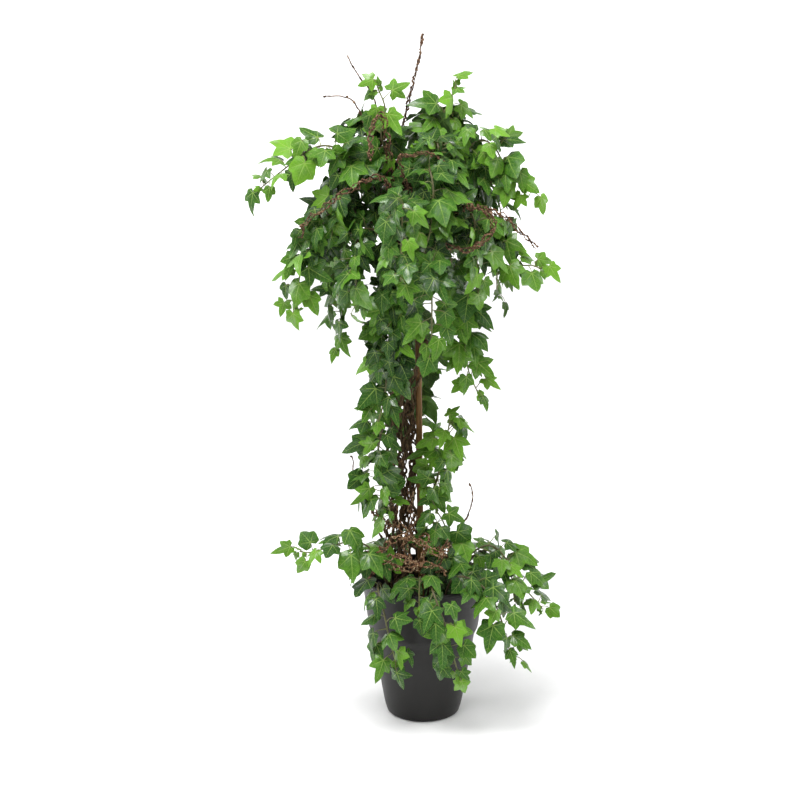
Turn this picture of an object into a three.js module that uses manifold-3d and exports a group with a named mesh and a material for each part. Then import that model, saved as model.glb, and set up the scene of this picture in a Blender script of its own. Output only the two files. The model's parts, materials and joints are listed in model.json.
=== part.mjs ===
// Potted ivy trained as a small tree: a tapered pot with its soil, a stake with three woody
// stems beside it, a twiggy knot that carries the round head, and the leafy vines and bare twigs.
// Millimetres. +X right, -Y front, +Z up. The origin is the centre of the pot's underside.
import * as THREE from "three";
import { mergeVertices } from "three/addons/utils/BufferGeometryUtils.js";
import Module from "manifold-3d";

const wasm = await Module();
wasm.setup();

// Driving dimensions.
const GAP = 0.4;
const POT = {
  height: 154, wall: 2.6, floor: 4, segments: 28,
  footRadius: 33, footBend: 8, lowRadius: 41, stepHeight: 91, stepRadius: 55,
  collarHeight: 97, collarRadius: 58.5, rimRadius: 66, lip: 3.4,
};
const SOIL_TOP = 131;
const STAKE = { radius: 3.3, bottom: 14, top: 566, sides: 10 };
const WOODY = {
  stems: 3, radius: 2.5, twist: 7.5, turns: 1.3, waver: 0.12, wavers: 9, sides: 5, steps: 22,
};

// The bundle of woody stems swings to the left of the stake.
const WOODY_AXIS = [[-24, 0, 92], [-29, 0, 190], [-27, 0, 260], [-26, 0, 330], [-24, 0, 420],
  [-22, 0, 470], [-22, 0, 521]];
const KNOT = { centre: [-12, 0, 545], radii: [33, 33, 41], lump: 0.07, ripples: [5, 6, 7] };
const CROWN = {
  centre: [-12, 0, 552], reach: 90, longReach: 142, longEvery: 4, height: 114, droop: 70,
  vines: 18, faceRise: 0.45, hubDrop: 30,
};

// How the crown's vines are shared round the knot: the first one's turn, the highest one's lift
// and how far the lifts run down from it, as the sine of the angle above level.
const CROWN_ORDER = { firstTurn: 0.35, highest: 0.94, run: 1.5 };
const GOLDEN_ANGLE = Math.PI * (3 - Math.sqrt(5));

// A crown vine's shape: how far off the knot it starts, its shares of the way out to the face
// and of the droop, how much it arches, and how far it stands off the face as it droops.
const CROWN_ARCH = {
  offKnot: 1.14, inner: 0.66, outer: 0.92, arch: 6, bend: 0.25, low: 0.62, lowSpread: 0.8,
  standOff: 8, spread: 30,
};
const STEM = { radius: 1.15, sides: 4, step: 14 };
const TWIG = { radius: 1.9, sides: 5, step: 13 };
const LEAF = { width: 27, spread: 0.24, petiole: 8, petioleSpread: 8, thickness: 1.6, neck: 0.9 };

// How a blade bends, in its own widths: down to its sides, down to its tip, and its thickest place.
const BEND = { fold: 0.14, droop: 0.14, heart: 0.36 };

// Where leaves grow: the step between leaf sites, the tries at each, the share of a stem that
// bears leaves, and how much smaller the leaves of the last stretch are.
const SITES = { step: 7, tries: 4, leafyShare: 0.8, youngShare: 0.3, youngest: 0.72 };

// Which way a leaf grows: how strongly each direction counts.
const HABIT = {
  faceUp: 0.4, faceStray: 0.65, stalkSide: 0.9, stalkAhead: 1.2, stalkOut: 0.6, stalkAlong: 0.25,
  stalkStray: 0.35, stalkLeast: 0.3, hangStalk: 0.6, hangDown: 0.8, hangAlong: 0.25, hangStray: 0.5,
};

// A petiole never starts past this share of its stem, and no join leaves a shorter edge than this.
const LAST_SHARE = 0.985;
const SHORT_EDGE = 0.02;

// Half outlines of a blade one unit wide, from the notch at its base out to its tip.
const BLADE = [[0.5, 0.4], [0, 0.96]];
const BLADE_CLAIM = [[0.33, -0.12], [0.49, 0.4], [0, 0.97]];

// Where the watering hand reaches the soil, kept clear of leaves.
const WATERING = { size: [28, 20, 30], centre: [2, 46, 148] };

// Vines with a place of their own: name, way the leaves face, route.
const NAMED_VINES = [
  ["vine_spray_left", [-0.3, -0.9, 0.3], [[-48, -16, 566], [-66, -28, 600], [-84, -38, 624],
    [-103, -40, 630], [-122, -40, 622], [-139, -40, 608], [-154, -40, 596], [-168, -40, 584]]],
  ["vine_spray_upper_right", [0.3, -0.9, 0.3], [[22, -14, 568], [30, -20, 600], [42, -22, 624],
    [58, -22, 632], [72, -20, 622], [82, -20, 602], [94, -20, 588], [108, -20, 577]]],
  ["vine_top_right", [0.3, -0.6, 0.5], [[-2, -8, 588], [4, -6, 612], [12, -2, 640], [23, 0, 662],
    [31, 0, 682]]],
  ["vine_front_face", [0, -1, 0.3], [[2, -36, 564], [4, -58, 602], [4, -80, 616],
    [8, -96, 598], [6, -102, 562], [-4, -104, 528]]],
  ["vine_spray_right", [0.2, -0.8, 0.5], [[26, -12, 548], [50, -22, 538], [78, -26, 518],
    [96, -30, 504], [110, -30, 503], [119, -30, 499]]],
  ["vine_hanging_left", [-0.3, -0.9, 0.2], [[-49, -14, 540], [-72, -32, 560], [-96, -40, 560],
    [-115, -42, 543], [-123, -45, 520], [-128, -45, 490], [-130, -45, 462]]],
  ["vine_hanging_right", [0.2, -0.9, 0.2], [[12, -26, 520], [28, -38, 500], [38, -40, 470],
    [41, -40, 436], [45, -40, 396], [56, -40, 368]]],
  ["vine_cascade", [-0.2, -0.9, 0.2], [[-22, -36, 522], [-30, -48, 482], [-32, -50, 440],
    [-38, -50, 404], [-42, -50, 362], [-54, -50, 324]]],
  ["vine_trunk_right", [0.3, -0.9, 0.2], [[6, -3, 240], [15, -16, 272], [22, -20, 304],
    [27, -20, 334]]],
  ["vine_trunk_left", [-0.4, -0.9, 0.2], [[-38, -8, 326], [-44, -26, 324], [-48, -36, 298],
    [-42, -38, 262], [-34, -38, 234]]],
  ["vine_trunk_back", [0, 1, 0.2], [[-18, 16, 430], [-10, 36, 420], [-4, 42, 380],
    [-10, 42, 340], [-20, 40, 306]]],
  ["vine_trunk_foot", [0.1, -0.9, 0.3], [[12, -22, 133], [20, -26, 160], [26, -24, 190],
    [22, -22, 218], [12, -20, 236]]],
  ["vine_spray_low_left", [-0.2, -0.7, 0.7], [[-34, -24, 133], [-42, -36, 168],
    [-56, -44, 200], [-76, -50, 210], [-98, -50, 204], [-118, -50, 198], [-130, -50, 199]]],
  ["vine_spray_low_right", [0.3, -0.6, 0.7], [[32, -8, 133], [42, -10, 172], [68, -12, 192],
    [88, -18, 178], [108, -20, 146], [126, -20, 124]]],
  ["vine_trail_right", [0.4, -0.8, 0.3], [[20, -34, 133], [30, -50, 168], [50, -62, 173],
    [68, -72, 160], [79, -76, 138], [86, -76, 112], [92, -76, 90]]],
  ["vine_trail_left", [-0.2, -1, 0.1], [[-36, -22, 133], [-46, -46, 162], [-48, -68, 163],
    [-42, -82, 144], [-36, -80, 112], [-29, -76, 84]]],
  ["vine_trail_front", [0.1, -1, 0.1], [[2, -36, 133], [6, -60, 164], [10, -86, 165],
    [20, -96, 140], [28, -92, 108], [36, -86, 76]]],
  ["vine_top_left", [-0.1, -0.8, 0.4], [[-30, -10, 584], [-38, -18, 612], [-44, -22, 640],
    [-40, -20, 664], [-48, -18, 686]]],
];

// Vines that leave the pot low: bearing in degrees, radius and height of the arch, of the tip.
const SKIRT = { start: 36, hub: 110, shoulder: 0.22, crest: 0.52, fall: 0.89, bow: 10 };
const SKIRT_VINES = [
  [8, 99, 178, 118], [59, 96, 168, 101], [111, 104, 171, 99], [158, 70, 180, 150],
  [266, 72, 172, 142], [322, 57, 172, 158],
];

// Bare twigs: name, route.
const TWIGS = [
  ["twig_top_tall", [[-26, 4, 588], [-22, 2, 640], [-14, 0, 676], [-7, 0, 706], [-2, 0, 736]]],
  ["twig_top_left", [[-40, 8, 580], [-46, -2, 640], [-52, -8, 672], [-64, -10, 692],
    [-79, -10, 716]]],
  ["twig_top_small", [[-50, 2, 572], [-60, -12, 640], [-70, -18, 668], [-84, -20, 676],
    [-101, -20, 677]]],
  ["twig_arm_left", [[-30, -30, 566], [-44, -78, 606], [-76, -96, 597], [-104, -92, 577],
    [-120, -80, 560], [-125, -72, 544]]],
  ["twig_loop_upper", [[-34, -22, 580], [-38, -40, 640], [-44, -48, 664], [-54, -66, 650],
    [-54, -88, 628]]],
  ["twig_front", [[-8, -36, 562], [-26, -84, 624], [-10, -90, 632], [4, -84, 632],
    [18, -78, 622]]],
  ["twig_loop_right", [[20, -26, 556], [52, -84, 578], [68, -86, 562], [60, -92, 546],
    [40, -97, 536], [20, -96, 541]]],
  ["twig_right_down", [[26, -20, 560], [72, -50, 564], [97, -52, 543], [114, -46, 526]]],
  ["twig_trunk_left", [[-46, -8, 200], [-60, -14, 250], [-72, -20, 268], [-75, -20, 294]]],
  ["twig_trunk_right", [[22, -6, 160], [40, -2, 206], [52, 0, 238], [49, 0, 256]]],
  ["twig_tangle", [[-54, -6, 138], [-58, -30, 166], [-40, -52, 184], [-14, -54, 180],
    [2, -48, 196], [14, -30, 214], [4, -12, 226], [-12, -16, 212], [-20, -34, 200],
    [-6, -44, 172], [14, -50, 166]]],
];

const PAINT = {
  pot: { color: 0x33312f, roughness: 0.45 },
  soil: { color: 0x2a2119, roughness: 0.95 },
  bark: { color: 0x4a372a, roughness: 0.85 },
  stake: { color: 0x6b4636, roughness: 0.5 },
  twig: { color: 0x7a5a4a, roughness: 0.8 },
  leaf: { color: 0x3f7a34, roughness: 0.5 },
};

const UP = new THREE.Vector3(0, 0, 1);
const DOWN = new THREE.Vector3(0, 0, -1);

function vector(point) {
  return new THREE.Vector3(...point);
}

function sumOf(...weighted) {
  const sum = new THREE.Vector3();
  for (const [direction, weight] of weighted) sum.addScaledVector(direction, weight);
  return sum;
}

// The same run of numbers between 0 and 1 for the same seed.
function seeded(seed) {
  const modulus = 2147483647;
  let state = (seed * 48271 + 11) % modulus;
  const draw = () => {
    state = (state * 16807) % modulus;
    return state / modulus;
  };
  draw();
  draw();
  return draw;
}

function scatter(random) {
  const x = random() * 2 - 1;
  const y = random() * 2 - 1;
  const z = random() * 2 - 1;
  return new THREE.Vector3(x, y, z);
}

// Solids for joining and cutting.
function toSolid(geometry) {
  const bare = geometry.clone();
  bare.deleteAttribute("normal");
  bare.deleteAttribute("uv");
  const merged = mergeVertices(bare, 1e-4);
  return new wasm.Manifold(new wasm.Mesh({
    numProp: 3,
    vertProperties: Float32Array.from(merged.attributes.position.array),
    triVerts: Uint32Array.from(merged.index.array),
  }));
}

function toGeometry(solid) {
  const mesh = solid.getMesh();
  const geometry = new THREE.BufferGeometry();
  geometry.setAttribute("position", new THREE.BufferAttribute(mesh.vertProperties, 3));
  geometry.setIndex(new THREE.BufferAttribute(mesh.triVerts, 1));
  geometry.computeVertexNormals();
  return geometry;
}

function shortestEdge(solid) {
  const { vertProperties, triVerts } = solid.getMesh();
  const corner = (i) => new THREE.Vector3().fromArray(vertProperties, 3 * triVerts[i]);
  let shortest = Infinity;
  for (let i = 0; i < triVerts.length; i += 1) {
    const next = i % 3 === 2 ? i - 2 : i + 1;
    shortest = Math.min(shortest, corner(i).distanceTo(corner(next)));
  }
  return shortest;
}

function boxOf(solid) {
  const { min, max } = solid.boundingBox();
  return new THREE.Box3(vector(min), vector(max));
}

function ring(radius, sides) {
  const corners = [];
  for (let i = 0; i < sides; i += 1) {
    const angle = (2 * Math.PI * i) / sides;
    corners.push(new THREE.Vector2(radius * Math.cos(angle), radius * Math.sin(angle)));
  }
  return new THREE.Shape(corners);
}

function curveThrough(points) {
  return new THREE.CatmullRomCurve3(points, false, "catmullrom", 0.5);
}

function tube(curve, radius, sides, steps) {
  const settings = { steps, extrudePath: curve, bevelEnabled: false };
  return new THREE.ExtrudeGeometry(ring(radius, sides), settings);
}

function lathe(profile) {
  const points = profile.map(([radius, height]) => new THREE.Vector2(radius, height));
  const turned = new THREE.LatheGeometry(points, POT.segments);
  turned.rotateX(Math.PI / 2);
  return toSolid(turned);
}

function potProfile() {
  const { height, wall, floor, lip, footRadius, footBend, lowRadius } = POT;
  const { stepHeight, stepRadius, collarHeight, collarRadius, rimRadius } = POT;
  return [
    [0, 0], [footRadius, 0], [lowRadius - 1.5, 2.5], [lowRadius, footBend],
    [stepRadius, stepHeight], [collarRadius, collarHeight],
    [rimRadius - 0.6, height - lip], [rimRadius, height - 1], [rimRadius - 1.4, height],
    [rimRadius - lip, height - 1.2], [collarRadius - wall, collarHeight + 1],
    [stepRadius - wall, stepHeight + 1], [lowRadius - wall, floor + 5],
    [lowRadius - wall - 4, floor], [0, floor],
  ];
}

function soilProfile() {
  const { wall, floor, lowRadius, stepHeight, stepRadius, collarHeight, collarRadius } = POT;
  const share = (SOIL_TOP - collarHeight) / (POT.height - collarHeight);
  const topRadius = collarRadius + (POT.rimRadius - collarRadius) * share - wall;
  const slack = GAP + 0.5;
  return [
    [0, floor + GAP], [lowRadius - wall - 4 - slack, floor + GAP],
    [lowRadius - wall - slack, floor + 6], [stepRadius - wall - slack, stepHeight + 1],
    [collarRadius - wall - slack, collarHeight + 2], [topRadius - slack, SOIL_TOP - 1],
    [0, SOIL_TOP],
  ];
}

// The stake leans a little, as it is pushed in by hand.
function stakeCurve() {
  return new THREE.LineCurve3(vector([-1, 0, STAKE.bottom]), vector([-8, 0, STAKE.top]));
}

function woodyCurve(index) {
  const axis = curveThrough(WOODY_AXIS.map(vector));
  const points = [];
  for (let i = 0; i <= WOODY.steps; i += 1) {
    const share = i / WOODY.steps;
    const angle = 2 * Math.PI * (WOODY.turns * share + index / WOODY.stems);
    const phase = WOODY.wavers * share + 2 * index;
    const wander = WOODY.twist * (1 - WOODY.waver * Math.sin(phase));
    const side = new THREE.Vector3(Math.cos(angle), Math.sin(angle), 0);
    points.push(axis.getPoint(share).addScaledVector(side, wander));
  }
  return curveThrough(points);
}

function knotSolid() {
  const ball = new THREE.SphereGeometry(1, 12, 8).rotateX(Math.PI / 2);
  const places = ball.attributes.position;
  const [inX, inY, inZ] = KNOT.ripples;
  for (let i = 0; i < places.count; i += 1) {
    const place = new THREE.Vector3().fromBufferAttribute(places, i);
    const ripple = Math.sin(inX * place.x + inZ * place.z) * Math.cos(inY * place.y);
    const lump = 1 + KNOT.lump * ripple;
    place.multiplyScalar(lump).multiply(vector(KNOT.radii)).add(vector(KNOT.centre));
    places.setXYZ(i, place.x, place.y, place.z);
  }
  return toSolid(ball);
}

// A crown vine leaves the knot, runs out to the head's face and droops along it.
function crownRoute(index) {
  const { offKnot: gapShare, inner, outer, arch, bend, low, lowSpread, standOff } = CROWN_ARCH;
  const turn = index * GOLDEN_ANGLE + CROWN_ORDER.firstTurn;
  const lift = CROWN_ORDER.highest - (CROWN_ORDER.run * (index + 0.5)) / CROWN.vines;
  const level = Math.sqrt(1 - lift * lift);
  const heading = new THREE.Vector3(level * Math.cos(turn), level * Math.sin(turn), lift);
  const flat = new THREE.Vector3(Math.cos(turn), Math.sin(turn), 0);
  const centre = vector(CROWN.centre);
  const isLong = index % CROWN.longEvery === CROWN.longEvery - 1;
  const depth = isLong ? CROWN.longReach : CROWN.reach;
  const reach = new THREE.Vector3(CROWN.reach, depth, CROWN.height);
  const face = (share) => centre.clone().add(heading.clone().multiply(reach).multiplyScalar(share));
  const offKnot = heading.clone().multiply(vector(KNOT.radii)).multiplyScalar(gapShare);
  const start = vector(KNOT.centre).add(offKnot);
  const top = face(outer).addScaledVector(UP, arch);
  const hung = (outwards, drop) =>
    face(1).addScaledVector(flat, outwards).addScaledVector(DOWN, drop);
  const spread = CROWN_ARCH.spread * Math.max(lift, 0);
  return [start, face(inner), top, hung(standOff * (1 - level), CROWN.droop * bend),
    hung(spread * lowSpread, CROWN.droop * low), hung(spread, CROWN.droop)];
}

// A skirt vine rises from the soil, arches to the rim and droops past it.
function skirtRoute([bearing, reach, rise, end]) {
  const turn = (bearing * Math.PI) / 180;
  const flat = new THREE.Vector3(Math.cos(turn), Math.sin(turn), 0);
  const place = (share, height) =>
    flat.clone().multiplyScalar(SKIRT.start + (reach - SKIRT.start) * share).setZ(height);
  const { shoulder, crest, fall, bow } = SKIRT;
  return [place(0, SOIL_TOP + 2), place(shoulder, rise - bow), place(crest, rise),
    place(fall, (rise + end) / 2 + bow), place(1, end)];
}

// One vine: its route, the point its leaves turn away from or the way they face, its seed.
function vineList() {
  const vines = [];
  const add = (name, points, facing) => {
    const curve = curveThrough(points);
    const steps = Math.round(curve.getLength() / STEM.step);
    const spine = curve.getSpacedPoints(steps);
    vines.push({ name, curve, steps, spine, facing, seed: 101 + 37 * vines.length });
  };
  for (const [name, facing, route] of NAMED_VINES) {
    const way = vector(facing).normalize();
    add(name, route.map(vector), () => way);
  }
  const awayFrom = (hub, rise) => (place) =>
    place.clone().sub(hub).multiply(new THREE.Vector3(1, 1, rise)).normalize();
  const head = vector(CROWN.centre).addScaledVector(DOWN, CROWN.hubDrop);
  for (let i = 0; i < CROWN.vines; i += 1) {
    const number = String(i + 1).padStart(2, "0");
    add(`vine_crown_${number}`, crownRoute(i), awayFrom(head, CROWN.faceRise));
  }
  SKIRT_VINES.forEach((vine, i) => {
    add(`vine_skirt_${i + 1}`, skirtRoute(vine), awayFrom(new THREE.Vector3(0, 0, SKIRT.hub), 1));
  });
  return vines;
}

// A place on the stem's straight stretches, so that the petiole starts inside the stem.
function spinePoint(spine, share) {
  const place = Math.min(Math.max(share, 0), LAST_SHARE) * (spine.length - 1);
  const first = Math.min(Math.floor(place), spine.length - 2);
  return spine[first].clone().lerp(spine[first + 1], place - first);
}

// How a leaf sits: where its petiole starts, where its blade starts, and the blade's own axes.
function leafSeat(vine, site, attempt) {
  const random = seeded(vine.seed * 1000 + site * 10 + attempt);
  const share = (site + 1) / vine.sites;
  const middle = spinePoint(vine.spine, share);
  const along = spinePoint(vine.spine, share + 0.02);
  along.sub(spinePoint(vine.spine, share - 0.02)).normalize();
  const outward = [vine.facing(middle), 1];
  const normal = sumOf(outward, [UP, HABIT.faceUp], [scatter(random), HABIT.faceStray]).normalize();
  const side = new THREE.Vector3().crossVectors(along, normal).normalize();
  const hand = site % 2 === 0 ? 1 : -1;
  const last = site + 1 === vine.sites;
  const forward = last ? [along, HABIT.stalkAhead] : [side, hand * HABIT.stalkSide];
  const stalk = sumOf(forward, [normal, HABIT.stalkOut], [along, HABIT.stalkAlong],
    [scatter(random), HABIT.stalkStray]).normalize();
  const lacking = Math.max(HABIT.stalkLeast - stalk.dot(normal), 0);
  stalk.addScaledVector(normal, lacking).normalize();
  const hang = sumOf([stalk, HABIT.hangStalk], [DOWN, HABIT.hangDown], [along, HABIT.hangAlong],
    [scatter(random), HABIT.hangStray]);
  const tip = hang.addScaledVector(normal, -hang.dot(normal)).normalize();
  const across = new THREE.Vector3().crossVectors(tip, normal);
  const maturity = Math.min((1 - share) / SITES.youngShare, 1);
  const age = SITES.youngest + (1 - SITES.youngest) * maturity;
  const width = LEAF.width * age * (1 + LEAF.spread * (random() * 2 - 1));
  const petiole = LEAF.petiole + LEAF.petioleSpread * random();
  const base = middle.clone().addScaledVector(stalk, petiole);
  const root = middle.addScaledVector(stalk, -STEM.radius / 2);
  return { root, base, normal, tip, across, width };
}

// A thin blade, folded along its midrib, thickest at its heart and sharp at its rim. The petiole
// is a slim wedge from the stem to the underside of the midrib.
function leafPlate(seat, halfOutline, thickness, neck) {
  const { root, base, normal, tip, across, width } = seat;
  const place = (u, v, lift) => {
    const sag = width * (BEND.fold * Math.abs(u) + BEND.droop * v * v);
    return sumOf([base, 1], [across, u * width], [tip, v * width], [normal, lift - sag]);
  };
  const mirrored = halfOutline.slice(0, -1).reverse().map(([u, v]) => [-u, v]);
  const rim = [[neck / width, 0], ...halfOutline, ...mirrored, [-neck / width, 0]];
  const corners = rim.map(([u, v]) => place(u, v, 0));
  corners.push(place(0, BEND.heart, thickness / 2), place(0, BEND.heart, -thickness / 2), root);
  const last = rim.length - 1;
  const [above, below, start] = [last + 1, last + 2, last + 3];
  const index = [above, last, 0, below, 0, start, 0, last, start, last, below, start];
  for (let i = 0; i < last; i += 1) index.push(above, i, i + 1, below, i + 1, i);
  const geometry = new THREE.BufferGeometry().setFromPoints(corners);
  geometry.setIndex(index);
  return toSolid(geometry);
}

// Grows leaves on every vine from its tip inwards, each only where it touches nothing else.
function growLeaves(vines, taken) {
  for (const vine of vines) {
    vine.leaves = [];
    vine.sites = Math.floor(vine.curve.getLength() / SITES.step);
  }
  const most = Math.max(...vines.map((vine) => vine.sites));
  for (let back = 0; back < most; back += 1) {
    for (const vine of vines.filter((each) => back < each.sites * SITES.leafyShare)) {
      const leaf = freeLeaf(vine, vine.sites - 1 - back, taken);
      if (leaf) vine.leaves.push(leaf);
    }
  }
}

function freeLeaf(vine, site, taken) {
  for (let attempt = 0; attempt < SITES.tries; attempt += 1) {
    const seat = leafSeat(vine, site, attempt);
    const leaf = leafPlate(seat, BLADE, LEAF.thickness, LEAF.neck);
    const claim = leafPlate(seat, BLADE_CLAIM, LEAF.thickness + 2 * GAP, LEAF.neck + GAP);
    const box = boxOf(claim);
    const near = taken.filter((other) => other.owner !== vine.name && other.box.intersectsBox(box));
    const free = near.every((other) => other.solid.intersect(claim).isEmpty());
    if (free && shortestEdge(vine.stem.add(leaf)) > SHORT_EDGE) {
      taken.push({ owner: "", solid: claim, box });
      return leaf;
    }
  }
  return null;
}

function finished(name, solid, paint) {
  const material = new THREE.MeshStandardMaterial({ metalness: 0, ...PAINT[paint] });
  const mesh = new THREE.Mesh(toGeometry(solid), material);
  mesh.name = name;
  return mesh;
}

function claimOf(solid, owner) {
  return { owner, solid, box: boxOf(solid) };
}

function wateringSpace() {
  const space = new THREE.BoxGeometry(...WATERING.size).translate(...WATERING.centre);
  return toSolid(space);
}

function buildPart() {
  const part = new THREE.Group();
  const taken = [claimOf(wateringSpace(), "")];
  const addPiece = (name, solid, paint) => {
    part.add(finished(name, solid, paint));
    taken.push(claimOf(solid, name));
  };

  const sockets = [toSolid(tube(stakeCurve(), STAKE.radius + GAP, STAKE.sides, 1))];
  addPiece("stake", toSolid(tube(stakeCurve(), STAKE.radius, STAKE.sides, 1)), "stake");
  for (let i = 0; i < WOODY.stems; i += 1) {
    const woodyTube = (radius) => toSolid(tube(woodyCurve(i), radius, WOODY.sides, WOODY.steps));
    addPiece(`woody_stem_${i + 1}`, woodyTube(WOODY.radius), "bark");
    sockets.push(woodyTube(WOODY.radius + GAP));
  }
  const bores = sockets.reduce((all, socket) => all.add(socket));
  addPiece("crown_knot", knotSolid().subtract(bores), "bark");
  addPiece("pot", lathe(potProfile()), "pot");
  addPiece("soil", lathe(soilProfile()).subtract(bores), "soil");
  for (const [name, route] of TWIGS) {
    const curve = curveThrough(route.map(vector));
    const steps = Math.round(curve.getLength() / TWIG.step);
    addPiece(name, toSolid(tube(curve, TWIG.radius, TWIG.sides, steps)), "twig");
  }

  const vines = vineList();
  for (const vine of vines) {
    vine.stem = toSolid(tube(vine.curve, STEM.radius, STEM.sides, vine.steps));
    taken.push(claimOf(vine.stem, vine.name));
  }
  growLeaves(vines, taken);
  for (const vine of vines) {
    const grown = vine.leaves.reduce((whole, leaf) => whole.add(leaf), vine.stem);
    part.add(finished(vine.name, grown, "leaf"));
  }
  return part;
}

export default buildPart();
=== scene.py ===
"""Potted ivy trained as a small tree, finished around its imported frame.

The frame holds the pot, soil, stake, woody stems, twiggy knot, bare twigs and leafy vines as plain
solids. This add-on builds the finished pieces where those solids stand: each vine's leaves grow by
the same rule and at the same places. Metres, +X right, -Y front, +Z up, unless a name ends in MM.
"""

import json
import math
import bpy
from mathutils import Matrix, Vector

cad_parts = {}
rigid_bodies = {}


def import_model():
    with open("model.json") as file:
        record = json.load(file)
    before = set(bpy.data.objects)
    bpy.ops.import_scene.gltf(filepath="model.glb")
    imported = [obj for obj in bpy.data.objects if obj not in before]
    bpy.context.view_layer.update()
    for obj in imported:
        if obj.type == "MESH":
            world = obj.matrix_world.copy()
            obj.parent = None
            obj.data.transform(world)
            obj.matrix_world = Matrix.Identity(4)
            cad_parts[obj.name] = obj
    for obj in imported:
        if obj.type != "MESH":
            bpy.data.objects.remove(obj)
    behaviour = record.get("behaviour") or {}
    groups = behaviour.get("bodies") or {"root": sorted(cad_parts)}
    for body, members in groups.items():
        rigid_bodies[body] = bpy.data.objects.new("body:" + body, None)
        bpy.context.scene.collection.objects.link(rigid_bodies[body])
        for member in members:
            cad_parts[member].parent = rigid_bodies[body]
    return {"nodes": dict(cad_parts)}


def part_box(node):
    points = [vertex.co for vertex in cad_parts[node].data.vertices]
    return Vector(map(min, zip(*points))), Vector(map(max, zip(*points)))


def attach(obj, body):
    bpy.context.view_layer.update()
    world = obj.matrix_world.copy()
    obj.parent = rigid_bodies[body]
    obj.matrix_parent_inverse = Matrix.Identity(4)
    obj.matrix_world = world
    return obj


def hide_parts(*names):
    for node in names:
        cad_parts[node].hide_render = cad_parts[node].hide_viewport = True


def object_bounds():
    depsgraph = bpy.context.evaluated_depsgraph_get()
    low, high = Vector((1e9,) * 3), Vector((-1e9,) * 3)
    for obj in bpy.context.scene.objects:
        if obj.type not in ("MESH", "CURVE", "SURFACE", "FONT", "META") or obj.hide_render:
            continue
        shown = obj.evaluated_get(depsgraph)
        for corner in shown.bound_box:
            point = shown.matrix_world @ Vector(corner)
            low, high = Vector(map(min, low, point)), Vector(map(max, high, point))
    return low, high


bl_info = {
    "name": "Potted Ivy",
    "version": (1, 0, 0),
    "blender": (4, 5, 0),
    "location": "3D View > Sidebar > Potted Ivy",
    "description": "Builds a potted ivy tree with its pot, soil, stake, stems, twigs and leaves",
    "category": "Add Mesh",
}

import bmesh
import bpy
import numpy as np
from bpy.props import FloatProperty, FloatVectorProperty, IntProperty, PointerProperty
from bpy.types import Operator, Panel, PropertyGroup
from mathutils import Vector
from mathutils.kdtree import KDTree

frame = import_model()
FRAME_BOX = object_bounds()
MM = 0.001
UP = np.array([0.0, 0.0, 1.0])

# ---------------------------------------------------------------------------------------------
# How the vines run and how their leaves grow, in millimetres, as the frame's solids do.
# ---------------------------------------------------------------------------------------------

KNOT = {"centre": [-12, 0, 545], "radii": [33, 33, 41]}
CROWN = {"centre": [-12, 0, 552], "reach": 90, "long_reach": 142, "long_every": 4, "height": 114,
         "droop": 70, "vines": 18, "face_rise": 0.45, "hub_drop": 30}
# How the crown's vines are shared round the knot, the highest one first.
CROWN_ORDER = {"first_turn": 0.35, "highest": 0.94, "run": 1.5}
GOLDEN_ANGLE = math.pi * (3 - math.sqrt(5))
# A crown vine's shape: how far off the knot it starts, its shares of the way out to the face and
# of the droop, how much it arches, and how far it stands off the face as it droops.
CROWN_ARCH = {"off_knot": 1.14, "inner": 0.66, "outer": 0.92, "arch": 6, "bend": 0.25, "low": 0.62,
              "low_spread": 0.8, "stand_off": 8, "spread": 30}
SKIRT = {"start": 36, "hub": 110, "shoulder": 0.22, "crest": 0.52, "fall": 0.89, "bow": 10}
SOIL_TOP = 131
STEM = {"step": 14}
LEAF = {"width": 27, "spread": 0.24, "petiole": 8, "petiole_spread": 8}
BEND = {"fold": 0.14, "droop": 0.14}
SITES = {"step": 7, "tries": 4, "young_share": 0.3, "youngest": 0.72}
HABIT = {
    "face_up": 0.4, "face_stray": 0.65, "stalk_side": 0.9, "stalk_ahead": 1.2, "stalk_out": 0.6,
    "stalk_along": 0.25, "stalk_stray": 0.35, "stalk_least": 0.3, "hang_stalk": 0.6,
    "hang_down": 0.8, "hang_along": 0.25, "hang_stray": 0.5,
}
SEEDS = {"first": 101, "step": 37}
LAST_SHARE = 0.985
# How far along its vine, as a share, a leaf looks either way for the vine's direction.
LOOK_SHARE = 0.02
BLADE_TIP = 0.96
TIP_MATCH = 0.25
# A lobed blade's width over that of the frame's kite-shaped one, which it stands for.
BLADE_SHARE = 0.94

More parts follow.
